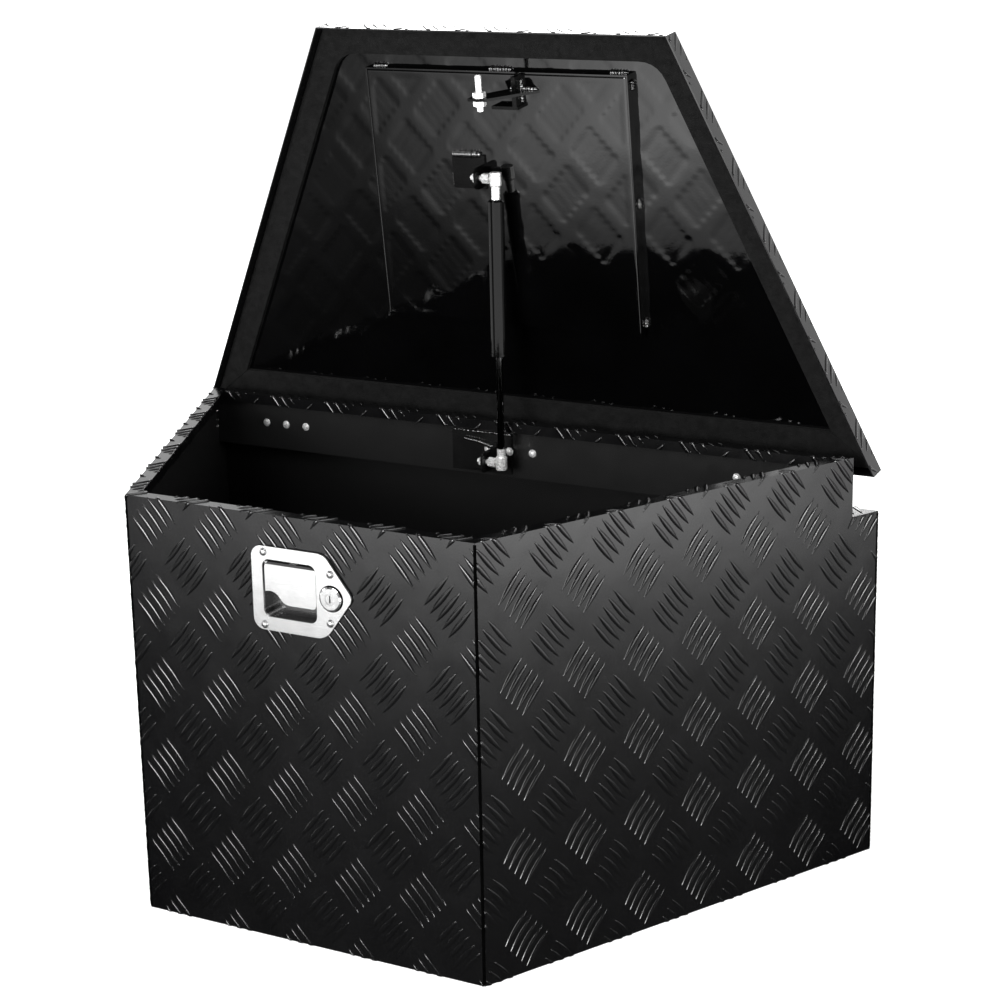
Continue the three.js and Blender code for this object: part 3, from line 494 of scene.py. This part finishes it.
def clip(bm, point, normal):
    """Cuts away what lies on the normal's side of a line in the flat sheet, and caps it."""
    cut = bmesh.ops.bisect_plane(
        bm, geom=bm.verts[:] + bm.edges[:] + bm.faces[:], dist=1e-4,
        plane_co=(*point, 0), plane_no=(*normal, 0), clear_outer=True)
    edges = [e for e in cut["geom_cut"] if isinstance(e, bmesh.types.BMEdge) and e.is_boundary]
    if edges:
        bmesh.ops.holes_fill(bm, edges=edges, sides=0)


def fold_line(bm, t):
    bmesh.ops.bisect_plane(bm, geom=bm.verts[:] + bm.edges[:] + bm.faces[:], dist=1e-4,
                           plane_co=(0, t, 0), plane_no=(0, 1, 0))


class Profile:
    """The cross-section of a folded sheet's outer face, as (inward, up) points."""

    def __init__(self, points):
        self.points = [Vector(p) for p in points]
        self.starts = [0.0]
        for a, b in zip(self.points, self.points[1:]):
            self.starts.append(self.starts[-1] + (b - a).length)
        self.normals = []
        for a, b in zip(self.points, self.points[1:]):
            run = (b - a).normalized()
            self.normals.append(Vector((-run.y, run.x)))

    def at(self, t, h):
        last = len(self.normals) - 1
        i = 0
        while i < last and t > self.starts[i + 1] + 1e-3:
            i += 1
        run = (self.points[i + 1] - self.points[i]).normalized()
        base = self.points[i] + run * (t - self.starts[i])
        normal = self.normals[i].copy()
        if i < last and abs(t - self.starts[i + 1]) <= 1e-3:
            normal += self.normals[i + 1]
        return base + normal * h

    def folds(self):
        return self.starts[1:-1]


def tread(name, profile, place, origins, s_span, clips, body, voids=(), cases=None, lid=False,
          t_span=None, high=BAR_HIGH):
    """Bars over one folded panel. clips are (point, normal) lines; cases sorts out the bars by
    where they lie and gives each kind its own extra lines."""
    t_low, t_high = t_span or (0.0, profile.starts[-1])
    groups = {}
    for centre, direction in lattice(origins, s_span, (t_low, t_high)):
        reach = BAR_HALF + BAR_WIDE
        if not (s_span[0] - reach < centre.x < s_span[1] + reach
                and t_low - reach < centre.y < t_high + reach):
            continue
        kind = cases(centre, direction) if cases else ()
        for run in open_runs(centre, direction, voids):
            groups.setdefault(kind, []).append((centre, direction, run))
    whole = bmesh.new()
    for kind, bars in groups.items():
        bm = bmesh.new()
        for centre, direction, run in bars:
            add_bar(bm, centre, direction, run, high)
        for point, normal in (*clips, *kind, ((0, t_low), (0, -1)), ((0, t_high), (0, 1))):
            clip(bm, point, normal)
        for t in profile.folds():
            fold_line(bm, t)
        for v in bm.verts:
            at = profile.at(v.co.y, v.co.z)
            v.co = place(v.co.x, at.x, at.y)
        mesh = bpy.data.meshes.new("part")
        bm.to_mesh(mesh)
        bm.free()
        whole.from_mesh(mesh)
        bpy.data.meshes.remove(mesh)
    return from_bmesh(whole, name, COAT, body, lid)


def on_front(s, w, z):
    return Vector((s, FRONT + w, z))


def on_right(s, w, z):
    x = HALF_FRONT + s * math.sin(SIDE_ANGLE) - w * math.cos(SIDE_ANGLE)
    y = FRONT + s * math.cos(SIDE_ANGLE) + w * math.sin(SIDE_ANGLE)
    return Vector((x, y, z))


def on_left(s, w, z):
    at = on_right(s, w, z)
    return Vector((-at.x, at.y, at.z))


def on_rear(s, w, z):
    return Vector((-s, REAR - w, z))


WALL = Profile([(0, 0), (0, HEIGHT), (FLANGE, HEIGHT), (FLANGE, HEIGHT - LIP)])
BACK = Profile([(0, 0), (0, LEDGE_Z), (NOTCH, LEDGE_Z), (NOTCH, HEIGHT),
                (NOTCH + FLANGE, HEIGHT), (NOTCH + FLANGE, HEIGHT - LIP)])
EDGE = 1.8                        # bars stop this far from a panel's edge
REAR_EDGE = 3.0
FRONT_CUT = 0.638                 # slopes of the flanges' mitred ends
REAR_CUT = 1.565
SIDE_LENGTH = (REAR - FRONT) * SLANT
UPPER_LENGTH = (UPPER_REAR - FRONT) * SLANT
LATCH_VOID = [(-46, 342), (30, 342), (41, 350), (60, 377), (60, 389), (41, 414), (30, 421),
              (-46, 421)]

# Centre of one cluster of '\' bars (-1) and of one of '/' bars (1) on each panel.
FRONT_ORIGINS = {-1: (135.7, 434.7), 1: (173.9, 390.1)}
RIGHT_ORIGINS = {-1: (319.3, 436.4), 1: (281.8, 392.0)}
LEFT_ORIGINS = {-1: (300.0, 432.0), 1: (262.0, 387.5)}
REAR_ORIGINS = both_leans(-6.5, 497.0)
LID_ORIGINS = both_leans(80.5, 376.0)
SKIRT_ORIGINS = both_leans(12.0, 26.0)

LEAF_HALF = 39.0                  # room left round each hinge leaf on the rear wall
LEAF_FOOT = 410.0
LEAF_TOP = 442.0


def rectangle(s0, s1, t0, t1):
    return [(s0, t0), (s1, t0), (s1, t1), (s0, t1)]


def side_cases(centre, direction):
    """Bars beside the notch stop at the ledge or at the upper rear edge."""
    reach_s = abs(direction.x) * BAR_HALF + BAR_WIDE
    reach_t = abs(direction.y) * BAR_HALF + BAR_WIDE
    if centre.y - reach_t > LEDGE_Z:
        end = UPPER_LENGTH - EDGE
        return (((end, 0), (1, 0)), ((end, HEIGHT), (1, REAR_CUT)))
    if centre.x + reach_s < UPPER_LENGTH - EDGE:
        return ()
    return (((0, LEDGE_Z - EDGE), (0, 1)),)


def rear_cases(centre, direction):
    reach_t = abs(direction.y) * BAR_HALF + BAR_WIDE
    upper = half_width(UPPER_REAR) - REAR_EDGE
    lines = []
    if centre.y - reach_t > LEDGE_Z + NOTCH:
        for sign in (1, -1):
            lines.append(((sign * upper, 0), (sign, 0)))
            lines.append(((sign * upper, HEIGHT + NOTCH), (sign, REAR_CUT)))
    elif centre.y + reach_t > LEDGE_Z:
        for sign in (1, -1):
            lines.append(((sign * (half_width(REAR) - REAR_EDGE), LEDGE_Z), (sign, SPREAD)))
    return tuple(lines)


def box_treads():
    front_lines = []
    for sign in (1, -1):
        front_lines.append(((sign * (HALF_FRONT - EDGE), 0), (sign, 0)))
        front_lines.append(((sign * (HALF_FRONT - EDGE), HEIGHT), (sign, FRONT_CUT)))
    tread("treads_front", WALL, on_front, FRONT_ORIGINS, (-HALF_FRONT, HALF_FRONT), front_lines,
          "box_body", voids=[LATCH_VOID])
    side_lines = [((EDGE, 0), (-1, 0)), ((EDGE, HEIGHT), (-1, FRONT_CUT)),
                  ((SIDE_LENGTH - EDGE, 0), (1, 0))]
    for name, place, origins in (("treads_right", on_right, RIGHT_ORIGINS),
                                 ("treads_left", on_left, LEFT_ORIGINS)):
        tread(name, WALL, place, origins, (0, SIDE_LENGTH), side_lines, "box_body",
              cases=side_cases)
    rear_lines = []
    for sign in (1, -1):
        rear_lines.append(((sign * (half_width(REAR) - REAR_EDGE), 0), (sign, 0)))
    leaves = [rectangle(c - LEAF_HALF, c + LEAF_HALF, NOTCH + LEAF_FOOT, NOTCH + LEAF_TOP)
              for c in HINGE_CENTRES.values()]
    tread("treads_rear", BACK, on_rear, REAR_ORIGINS, (-half_width(REAR), half_width(REAR)),
          rear_lines, "box_body", voids=leaves, cases=rear_cases)


box_treads()

SKIRT_BAR_HIGH = 0.8


def lid_treads():
    """Treads on the lid's outer face and on its four skirts, drawn with the lid closed."""
    flat = Profile([(0, 0), (0, 1000)])
    depth = LID_REAR - LID_FRONT
    height = LID_TOP - LID_BOTTOM
    lines = []
    for sign in (1, -1):
        lines.append(((sign * (lid_half(LID_REAR) - EDGE), 0), (sign, LID_SPREAD)))

    def on_top(s, w, t):
        return Vector((s, LID_REAR - t, LID_TOP - w))

    def on_lid_front(s, w, t):
        return Vector((s, LID_FRONT + w, LID_BOTTOM + t))

    def on_lid_rear(s, w, t):
        return Vector((-s, LID_REAR - w, LID_BOTTOM + t))

    angle = math.atan(LID_SPREAD)

    def on_lid_right(s, w, t):
        x = LID_HALF_FRONT + s * math.sin(angle) - w * math.cos(angle)
        y = LID_FRONT + s * math.cos(angle) + w * math.sin(angle)
        return Vector((x, y, LID_BOTTOM + t))

    def on_lid_left(s, w, t):
        at = on_lid_right(s, w, t)
        return Vector((-at.x, at.y, at.z))

    tread("treads_lid_top", flat, on_top, LID_ORIGINS, (-lid_half(LID_REAR), lid_half(LID_REAR)),
          lines, "lid_assembly", lid=True, t_span=(EDGE, depth - EDGE))
    length = depth * LID_SLANT
    for name, place, span in (
            ("treads_lid_front", on_lid_front, (-LID_HALF_FRONT, LID_HALF_FRONT)),
            ("treads_lid_rear", on_lid_rear, (-lid_half(LID_REAR), lid_half(LID_REAR))),
            ("treads_lid_right", on_lid_right, (0, length)),
            ("treads_lid_left", on_lid_left, (0, length))):
        ends = [((span[0] + EDGE, 0), (-1, 0)), ((span[1] - EDGE, 0), (1, 0))]
        tread(name, flat, place, SKIRT_ORIGINS, span, ends, "lid_assembly", lid=True,
              t_span=(EDGE, height - EDGE), high=SKIRT_BAR_HIGH)


lid_treads()


# ---- Reverse of the tread plate inside the lid ---------------------------------------------
DENT_WIDE = 6.2
DENT_HALF = 19.5
DENT_ROUND = 0.08                 # how far a dent's ends are rounded
DENT_FADE = 1.1
DENT_DEEP = 0.16
DENT_REACH = 24.0
SHEET_THICK = 0.5
SHEET_FOOT = 0.25
RIM_ROUND = 2.0
PLAIN_BORDER = 4.0
BORDER_FADE = 6.0


def relief(name, x_edges, depths, columns, rows, level):
    """A thin sheet whose face sinks softly where the bars of the other side stand out."""
    steps_u = np.linspace(*depths, rows + 1)
    steps_x = np.linspace(0, 1, columns + 1)
    grid_u, grid_x = np.meshgrid(steps_u, steps_x, indexing="ij")
    low = np.array([x_edges(u)[0] for u in steps_u])[:, None]
    high = np.array([x_edges(u)[1] for u in steps_u])[:, None]
    grid_x = low + (high - low) * grid_x
    dip = np.zeros_like(grid_x)
    for centre, direction in lattice(LID_ORIGINS, (grid_x.min(), grid_x.max()), depths):
        rows_near = np.nonzero(np.abs(steps_u - centre.y) < DENT_REACH)[0]
        if not len(rows_near):
            continue
        block = slice(rows_near[0], rows_near[-1] + 1)
        dx = grid_x[block] - centre.x
        du = grid_u[block] - centre.y
        side = dx * -direction.y + du * direction.x
        along = np.abs(dx * direction.x + du * direction.y) + DENT_ROUND * side ** 2
        across = np.exp(-(side / DENT_WIDE) ** 2)
        dip[block] += across / (1 + np.exp((along - DENT_HALF) / DENT_FADE))
    border = np.minimum.reduce([
        grid_u - depths[0], depths[1] - grid_u, (grid_x - low), (high - grid_x)])
    rim = np.clip(border / RIM_ROUND, 0, 1)
    face = SHEET_THICK - DENT_DEEP * dip * np.clip((border - PLAIN_BORDER) / BORDER_FADE, 0, 1)
    face = face * np.sqrt(1 - (1 - rim) ** 2) - SHEET_FOOT * (rim == 0)
    points = np.stack([grid_x, LID_REAR - grid_u, level - face], -1).reshape(-1, 3)
    n = columns + 1
    faces = []
    for r in range(rows):
        base = r * n
        for c in range(columns):
            a = base + c
            faces.append((a, a + 1, a + 1 + n, a + n))
    outline = list(range(n)) + [r * n + columns for r in range(1, rows + 1)]
    outline += [rows * n + c for c in range(columns - 1, -1, -1)]
    outline += [r * n for r in range(rows - 1, 0, -1)]
    faces.append(tuple(reversed(outline)))
    return new_piece(name, points, faces, GLOSS, "lid_assembly", lid=True)


relief("lid_skin_reverse", lambda u: (-lid_half(LID_REAR - u) + 3, lid_half(LID_REAR - u) - 3),
       (6.0, 461.0), 330, 230, SKIN_UNDER)
relief("tray_reverse", lambda u: (TRAY["left"] + 1, TRAY["right"] - 1),
       (TRAY["near"] + 1, TRAY["far"] - 1), 200, 180, TRAY["face"])


# ---- Foam seal --------------------------------------------------------------------------
FOAM_ROUND = 2.4


def foam_seal(node):
    """The CAD's strip with its flat faces joined up and its edges rounded."""
    mesh = NODES[node].data.copy()
    mesh.materials.clear()
    mesh.materials.append(FOAM)
    bm = bmesh.new()
    bm.from_mesh(mesh)
    bmesh.ops.dissolve_limit(bm, angle_limit=math.radians(2), verts=bm.verts, edges=bm.edges)
    bm.to_mesh(mesh)
    bm.free()
    obj = bpy.data.objects.new(node + "_foam", mesh)
    bpy.context.scene.collection.objects.link(obj)
    soften(obj, FOAM_ROUND, 4, 30)
    mesh.shade_smooth()
    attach(obj, "lid_assembly")
    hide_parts(node)


foam_seal("seal_front_sides")
foam_seal("seal_rear")


# ---- Weld beads -------------------------------------------------------------------------
BEAD_STEP = 0.7
BEAD_SIDES = 10
BEAD_SWELL = 0.1                  # random part of a bead's radius along it
BEAD_WOBBLE = 0.12                # and round it


def bead(name, points, radius, body, lid=False, seed=1, pitch=3.2, lumps=0.36,
         look=WELD, slot="black_steel"):
    """A painted weld bead: a lumpy tube laid along a path, with rounded ends."""
    rng = random.Random(seed)
    path = [Vector(p) for p in points]
    spots = []
    for a, b in zip(path, path[1:]):
        count = max(2, round((b - a).length / BEAD_STEP))
        spots += [a.lerp(b, i / count) for i in range(count)]
    spots.append(path[-1])
    total = len(spots) - 1
    vertices, faces = [], []
    for i, spot in enumerate(spots):
        ahead = spots[min(i + 1, total)] - spots[max(i - 1, 0)]
        ahead.normalize()
        u = ahead.orthogonal().normalized()
        v = ahead.cross(u)
        end = min(i, total - i) * BEAD_STEP / radius
        lump = 1 + BEAD_SWELL - lumps + lumps * abs(math.sin(math.pi * i * BEAD_STEP / pitch))
        lump += rng.uniform(-BEAD_SWELL, BEAD_SWELL)
        r = radius * lump * math.sqrt(max(0.02, min(1.0, end * (2 - end)) if end < 1 else 1.0))
        for k in range(BEAD_SIDES):
            angle = 2 * math.pi * k / BEAD_SIDES
            wobble = r * (1 + rng.uniform(-BEAD_WOBBLE, BEAD_WOBBLE))
            vertices.append(spot + u * (wobble * math.cos(angle)) + v * (wobble * math.sin(angle)))
    for i in range(total):
        for k in range(BEAD_SIDES):
            a, b = i * BEAD_SIDES + k, i * BEAD_SIDES + (k + 1) % BEAD_SIDES
            faces.append((a, b, b + BEAD_SIDES, a + BEAD_SIDES))
    faces.append(tuple(range(BEAD_SIDES - 1, -1, -1)))
    faces.append(tuple(range(total * BEAD_SIDES, (total + 1) * BEAD_SIDES)))
    return new_piece(name, vertices, faces, look, body, lid=lid)


def lid_point(x, u, z):
    return (x, LID_REAR - u, z)


def box_welds():
    """Beads of the strut's lower bracket, on the rear wall above the ledge."""
    bead("weld_lower_bracket", [(-59, 200.8, 431), (-40, 200.6, 429), (-20, 200.2, 424)], 3.6,
         "box_body", seed=3, lumps=0.55)
    bead("weld_lower_foot", [(-57, 200.9, 397), (-20, 200.9, 397)], 1.8, "box_body", seed=4)
    bead("lower_bracket_edge", [(-75, 202.3, 440.2), (1.5, 202.3, 440.2)], 1.5, "box_body",
         seed=2, pitch=40)


FOOT_TOP = 326.0                  # upper bracket's far edge, from the lid's rear skirt
TACK_HALF = 6.0
TACK_RADIUS = 3.4
TACK_Z = SKIN_UNDER - 1.6
SIDE_TACKS = (407, 278, 144)
TOP_TACKS = ((-155, -137), (-8, 20), (138, 160))


def lid_welds():
    """Beads of the two brackets on the tray, and the tacks that hold the tray to the lid."""
    def weld(name, start, end, radius, seed, **shape):
        bead(name, [lid_point(*start), lid_point(*end)], radius, "lid_assembly", True, seed,
             **shape)

    face = TRAY["face"]
    near = face - 0.8
    heavy = {"pitch": 3.6, "lumps": 0.5}
    weld("weld_upper_foot", (-56, FOOT_TOP, face - 1.6), (-20, FOOT_TOP + 1, face - 1.8), 4.2, 5,
         pitch=3.6, lumps=0.55)
    weld("weld_upper_side", (-57, 290, face - 0.6), (-57, 306, face - 0.6), 1.7, 6)
    for i, u in enumerate(SIDE_TACKS):
        weld(f"weld_tray_right_{i + 1}", (163.4, u - TACK_HALF, TACK_Z),
             (163.6, u + TACK_HALF, TACK_Z), TACK_RADIUS, 10 + i, **heavy)
        weld(f"weld_tray_left_{i + 1}", (-161.4, u - TACK_HALF, TACK_Z),
             (-161.6, u + TACK_HALF, TACK_Z), TACK_RADIUS, 20 + i, **heavy)
    for i, (x0, x1) in enumerate(TOP_TACKS):
        weld(f"weld_tray_top_{i + 1}", (x0, 419.4, TACK_Z), (x1, 419.6, TACK_Z), TACK_RADIUS,
             30 + i, **heavy)
    weld("weld_striker_web", (36, 386, near), (36, 412, near), 2.2, 40)
    weld("weld_striker_arm", (22, 401.5, near), (56, 401.5, near), 2.2, 41)


box_welds()
lid_welds()

SEAM_RADIUS = 1.5
WALL_SHEET = 2.0


def corner_seams():
    """Sealed seams up the inner corners of the box, where the panels meet."""
    skin = WALL_SHEET * SLANT
    rear = half_width(REAR - WALL_SHEET) - skin
    upper = half_width(UPPER_REAR - WALL_SHEET) - skin
    front = half_width(FRONT + WALL_SHEET) - skin
    inner_rear, inner_upper, inner_front = REAR - 2.1, UPPER_REAR - 2.1, FRONT + 2.1
    under = LEDGE_Z - 2.2
    for side, label in ((1, "right"), (-1, "left")):
        bead(f"seam_rear_{label}", [
            (side * rear, inner_rear, 4), (side * rear, inner_rear, under),
            (side * upper, inner_upper, under), (side * upper, inner_upper, HEIGHT - 3)],
            SEAM_RADIUS, "box_body", seed=50, pitch=25)
        bead(f"seam_front_{label}", [(side * front, inner_front, 4),
                                     (side * front, inner_front, HEIGHT - 12)],
             SEAM_RADIUS, "box_body", seed=51, pitch=25)


corner_seams()


def corner_gap_shades():
    """Thin black, non-reflective lines up the outer corners of the box, between the panels: painted
    shade for the shaded gaps there.
    """
    foot, below = 1.3, 1.2
    corners = {"front": (half_width(FRONT) - 0.7, FRONT + 0.7, HEIGHT - below),
               "rear": (half_width(REAR) - 1.1, REAR - 0.7, LEDGE_Z - below)}
    for end, (x, y, top) in corners.items():
        for side, label in ((1, "right"), (-1, "left")):
            bead(f"joint_{end}_{label}", [(side * x, y, foot), (side * x, y, top)], SEAM_RADIUS,
                 "box_body", seed=60, pitch=90, lumps=0.1, look=SHADE_BLACK, slot="rubber_gasket")


corner_gap_shades()


# ---- Rivets of the lid leaves, painted shade ring round the lock ------------------------
def turned_y(name, profile, x, z, material, body, lid=False, sides=24):
    """A turned solid along Y. Its (radius, y) profile runs from axis to axis, or, for a ring,
    comes back to its first point."""
    bm = bmesh.new()
    rings = []
    for r, y in profile:
        if r < 1e-6:
            rings.append([bm.verts.new((x, y, z))])
        else:
            rings.append([bm.verts.new((x + r * math.cos(2 * math.pi * k / sides), y,
                                        z + r * math.sin(2 * math.pi * k / sides)))
                          for k in range(sides)])
    for a, b in zip(rings, rings[1:]):
        for k in range(sides):
            n = (k + 1) % sides
            if len(a) == 1:
                bm.faces.new((a[0], b[k], b[n]))
            elif len(b) == 1:
                bm.faces.new((a[k], a[n], b[0]))
            else:
                bm.faces.new((a[k], a[n], b[n], b[k]))
    bmesh.ops.remove_doubles(bm, verts=bm.verts, dist=1e-4)
    return from_bmesh(bm, name, material, body, lid)


LEAF_INNER = 209.9                # inner face of the lid leaves
LEAF_RIVETS = (-28, 0, 28)
LEAF_RIVET_Z = 448.5


def lid_leaf_rivets():
    inner, outer = LEAF_INNER, LID_REAR
    profile = [(0, outer + 2.3), (1.6, outer + 2.15), (3.2, outer + 1.6), (4.4, outer + 0.7),
               (4.7, outer + 0.1), (4.7, outer), (2.2, outer), (2.2, inner), (3.4, inner),
               (3.4, inner - 0.5), (2.6, inner - 1.1), (0, inner - 1.2)]
    for label, centre in HINGE_CENTRES.items():
        for i, step in enumerate(LEAF_RIVETS):
            turned_y(f"hinge_{label}_lid_rivet_{i + 1}", profile, centre + step, LEAF_RIVET_Z,
                     ZINC, "lid_assembly", True)


lid_leaf_rivets()


def lock_shade_ring():
    """Thin black, non-reflective ring round the lock's head on the latch plate: painted shade for
    the shadow round the lock.
    """
    low, high = (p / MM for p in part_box("lock_body"))
    x, z = (low.x + high.x) / 2, (low.z + high.z) / 2
    radius = (high.x - low.x) / 2
    face = DISH_FACE / MM
    inside, outside, crown = radius - 1.5, radius + 1.2, face - 0.7
    profile = [(inside, face + 0.2), (outside, face + 0.2), (outside, face - 0.3),
               (outside - 0.4, crown), (inside + 1.1, crown), (inside, face)]
    turned_y("lock_shade_ring", [*profile, profile[0]], x, z, SHADE_BLACK, "box_body",
             sides=40)


lock_shade_ring()


# ---- Materials of the CAD nodes -----------------------------------------------------------
LOOKS = {
    PANEL: ("front_panel", "rear_panel", "right_side_panel", "left_side_panel", "floor_pan"),
    COAT: ("lid_skin",),
    GLOSS: ("stiffener_tray",),
    SATIN: ("strut_bracket_lower",),
    BRACKET: ("strut_bracket_upper", "striker_bracket"),
    TUBE: ("strut_tube", "strut_rod_guide"),
    DISH: ("latch_dish",),
    PADDLE: ("paddle",),
    LOCK: ("lock_body", "lock_plug", "latch_rivet_1", "latch_rivet_2", "latch_rivet_3",
           "latch_rivet_4"),
    RUBBER: ("latch_gasket",),
    NITRIDED: ("strut_rod",),
}
EDGES = {
    "latch_dish": 0.45, "paddle": 0.4, "lock_body": 0.35, "lock_plug": 0.2,
    "strut_bracket_lower": 0.5, "strut_bracket_upper": 0.5, "striker_bracket": 0.5,
    "stiffener_tray": 0.7, "lid_skin": 0.7, "front_panel": 0.7, "right_side_panel": 0.7,
    "left_side_panel": 0.7, "rear_panel": 0.5,
}


def finish_nodes():
    """Gives each node its look: the listed ones, satin hinge leaves, and zinc for the rest."""
    look_of = {name: material for material, names in LOOKS.items() for name in names}
    for name, obj in NODES.items():
        material = look_of.get(name, SATIN if name.endswith("_leaf") else ZINC)
        obj.data.materials.clear()
        obj.data.materials.append(material)
        if name in EDGES:
            soften(obj, EDGES[name])


finish_nodes()


# ---- Floor, light card, world and lights ---------------------------------------------------
def stage_plane(name, size, z, material):
    mesh = bpy.data.meshes.new(name)
    half = size / 2
    mesh.from_pydata([(-half, -half, z), (half, -half, z), (half, half, z), (-half, half, z)],
                     [], [(0, 1, 2, 3)])
    mesh.materials.append(material)
    obj = bpy.data.objects.new(name, mesh)
    bpy.context.scene.collection.objects.link(obj)
    return obj


def distance_node(tree):
    place = tree.nodes.new("ShaderNodeTexCoord").outputs["Object"]
    length = tree.nodes.new("ShaderNodeVectorMath")
    length.operation = "LENGTH"
    tree.links.new(place, length.inputs[0])
    return place, length.outputs["Value"]


def floor_material():
    n = Nodes("pale_floor")
    n.colours(n.noise(3, 2), (0.78, 0.78, 0.78), (0.80, 0.80, 0.80))
    n.set(Roughness=0.9, Specular_IOR_Level=0.0)
    n.shader.inputs["Emission Color"].default_value = (1, 1, 1, 1)
    _, distance = distance_node(n.tree)
    n.link(ramp_node(n.tree, distance, 0.5, 2.2, 0.45, 1.0), n.shader.inputs["Emission Strength"])
    return n.material


CARD_SIDES = ((39, 1.0), (219, 0.6))  # heading in degrees, and share of the full light
CARD_FULL, CARD_FADED = 55, 83        # degrees to either side of the heading
CARD_REST = 0.06
CARD_START, CARD_GROWTH, CARD_MOST = 0.03, 2.6, 4.5


def glow_material():
    """Light card at floor level: dark under the box, brighter further out and on two sides."""
    material = bpy.data.materials.new("floor_card")
    material.use_nodes = True
    tree = material.node_tree
    tree.nodes.clear()
    place, distance = distance_node(tree)
    grow = math_node(tree, "EXPONENT", math_node(tree, "MULTIPLY", distance, CARD_GROWTH))
    pool = math_node(tree, "MINIMUM", math_node(tree, "MULTIPLY", grow, CARD_START), CARD_MOST)
    axes = tree.nodes.new("ShaderNodeSeparateXYZ")
    tree.links.new(place, axes.inputs[0])
    low, high = math.cos(math.radians(CARD_FADED)), math.cos(math.radians(CARD_FULL))
    total = None
    for heading, share in CARD_SIDES:
        turn = math.radians(heading)
        ahead = math_node(tree, "MULTIPLY_ADD", axes.outputs["X"], math.sin(turn),
                          math_node(tree, "MULTIPLY", axes.outputs["Y"], -math.cos(turn)))
        cosine = math_node(tree, "DIVIDE", ahead, distance)
        side = ramp_node(tree, cosine, low, high, CARD_REST * share, share)
        total = side if total is None else math_node(tree, "MAXIMUM", total, side)
    glow = tree.nodes.new("ShaderNodeEmission")
    out = tree.nodes.new("ShaderNodeOutputMaterial")
    tree.links.new(math_node(tree, "MULTIPLY", pool, total), glow.inputs["Strength"])
    tree.links.new(glow.outputs["Emission"], out.inputs["Surface"])
    return material


def make_floor():
    """A pale floor for the eye, and a light card that only reflections see."""
    floor = stage_plane("floor", 40, -0.0005, floor_material())
    floor.visible_glossy = False
    card = stage_plane("floor_card", 14, -0.001, glow_material())
    card.visible_camera = False
    card.visible_diffuse = False
    card.visible_shadow = False
    card.visible_transmission = False


WORLD_FRONT, WORLD_BEHIND = 0.07, 1.1
WORLD_TURN = (0.3, 0.8)               # share of +Y in the direction, where it brightens


def make_world():
    """White to the eye; as light, dim in front and brighter behind the box."""
    world = bpy.data.worlds.new("studio")
    bpy.context.scene.world = world
    world.use_nodes = True
    tree = world.node_tree
    tree.nodes.clear()
    seen = tree.nodes.new("ShaderNodeLightPath")
    shown = tree.nodes.new("ShaderNodeBackground")
    shown.inputs["Color"].default_value = (1, 1, 1, 1)
    shown.inputs["Strength"].default_value = 1.0
    lit = tree.nodes.new("ShaderNodeBackground")
    lit.inputs["Color"].default_value = (1, 1, 1, 1)
    direction = tree.nodes.new("ShaderNodeTexCoord").outputs["Generated"]
    axes = tree.nodes.new("ShaderNodeSeparateXYZ")
    tree.links.new(direction, axes.inputs[0])
    behind = ramp_node(tree, axes.outputs["Y"], *WORLD_TURN, WORLD_FRONT, WORLD_BEHIND)
    tree.links.new(behind, lit.inputs["Strength"])
    mix = tree.nodes.new("ShaderNodeMixShader")
    out = tree.nodes.new("ShaderNodeOutputWorld")
    tree.links.new(seen.outputs["Is Camera Ray"], mix.inputs["Fac"])
    tree.links.new(lit.outputs["Background"], mix.inputs[1])
    tree.links.new(shown.outputs["Background"], mix.inputs[2])
    tree.links.new(mix.outputs["Shader"], out.inputs["Surface"])


# Name, position, target (both in metres), width and height, power in watts.
LIGHTS = (
    ("key", (0.1, -3.3, 2.0), (0, 0, 0.35), (1.2, 2.2), 58),
    ("front_glint", (-0.52, -3.46, 0.88), (-0.15, -0.24, 0.25), (1.35, 1.35), 170),
    ("side_glint", (3.46, -0.67, 0.89), (0.3, 0, 0.2), (0.7, 0.7), 60),
    ("side_fill", (3.5, 0.12, 0.75), (0.3, 0, 0.25), (1.0, 0.6), 32),
    ("top", (0, -0.2, 3.4), (0, 0, 0), (2.6, 2.0), 60),
    ("rear", (-1.2, 3.0, 2.0), (0, 0, 0.3), (1.6, 1.0), 45),
    ("left", (-3.2, -0.8, 1.6), (0, 0, 0.3), (0.8, 1.4), 20),
)


def make_lights():
    for name, at, towards, size, power in LIGHTS:
        light = bpy.data.lights.new(name, "AREA")
        light.shape = "RECTANGLE"
        light.size, light.size_y = size
        light.energy = power
        obj = bpy.data.objects.new(name, light)
        bpy.context.scene.collection.objects.link(obj)
        obj.location = at
        obj.visible_camera = False
        aim = Vector(towards) - Vector(at)
        obj.rotation_mode = "QUATERNION"
        obj.rotation_quaternion = aim.to_track_quat("-Z", "Y")


make_floor()
make_world()
make_lights()
bpy.context.scene.view_settings.view_transform = "Standard"
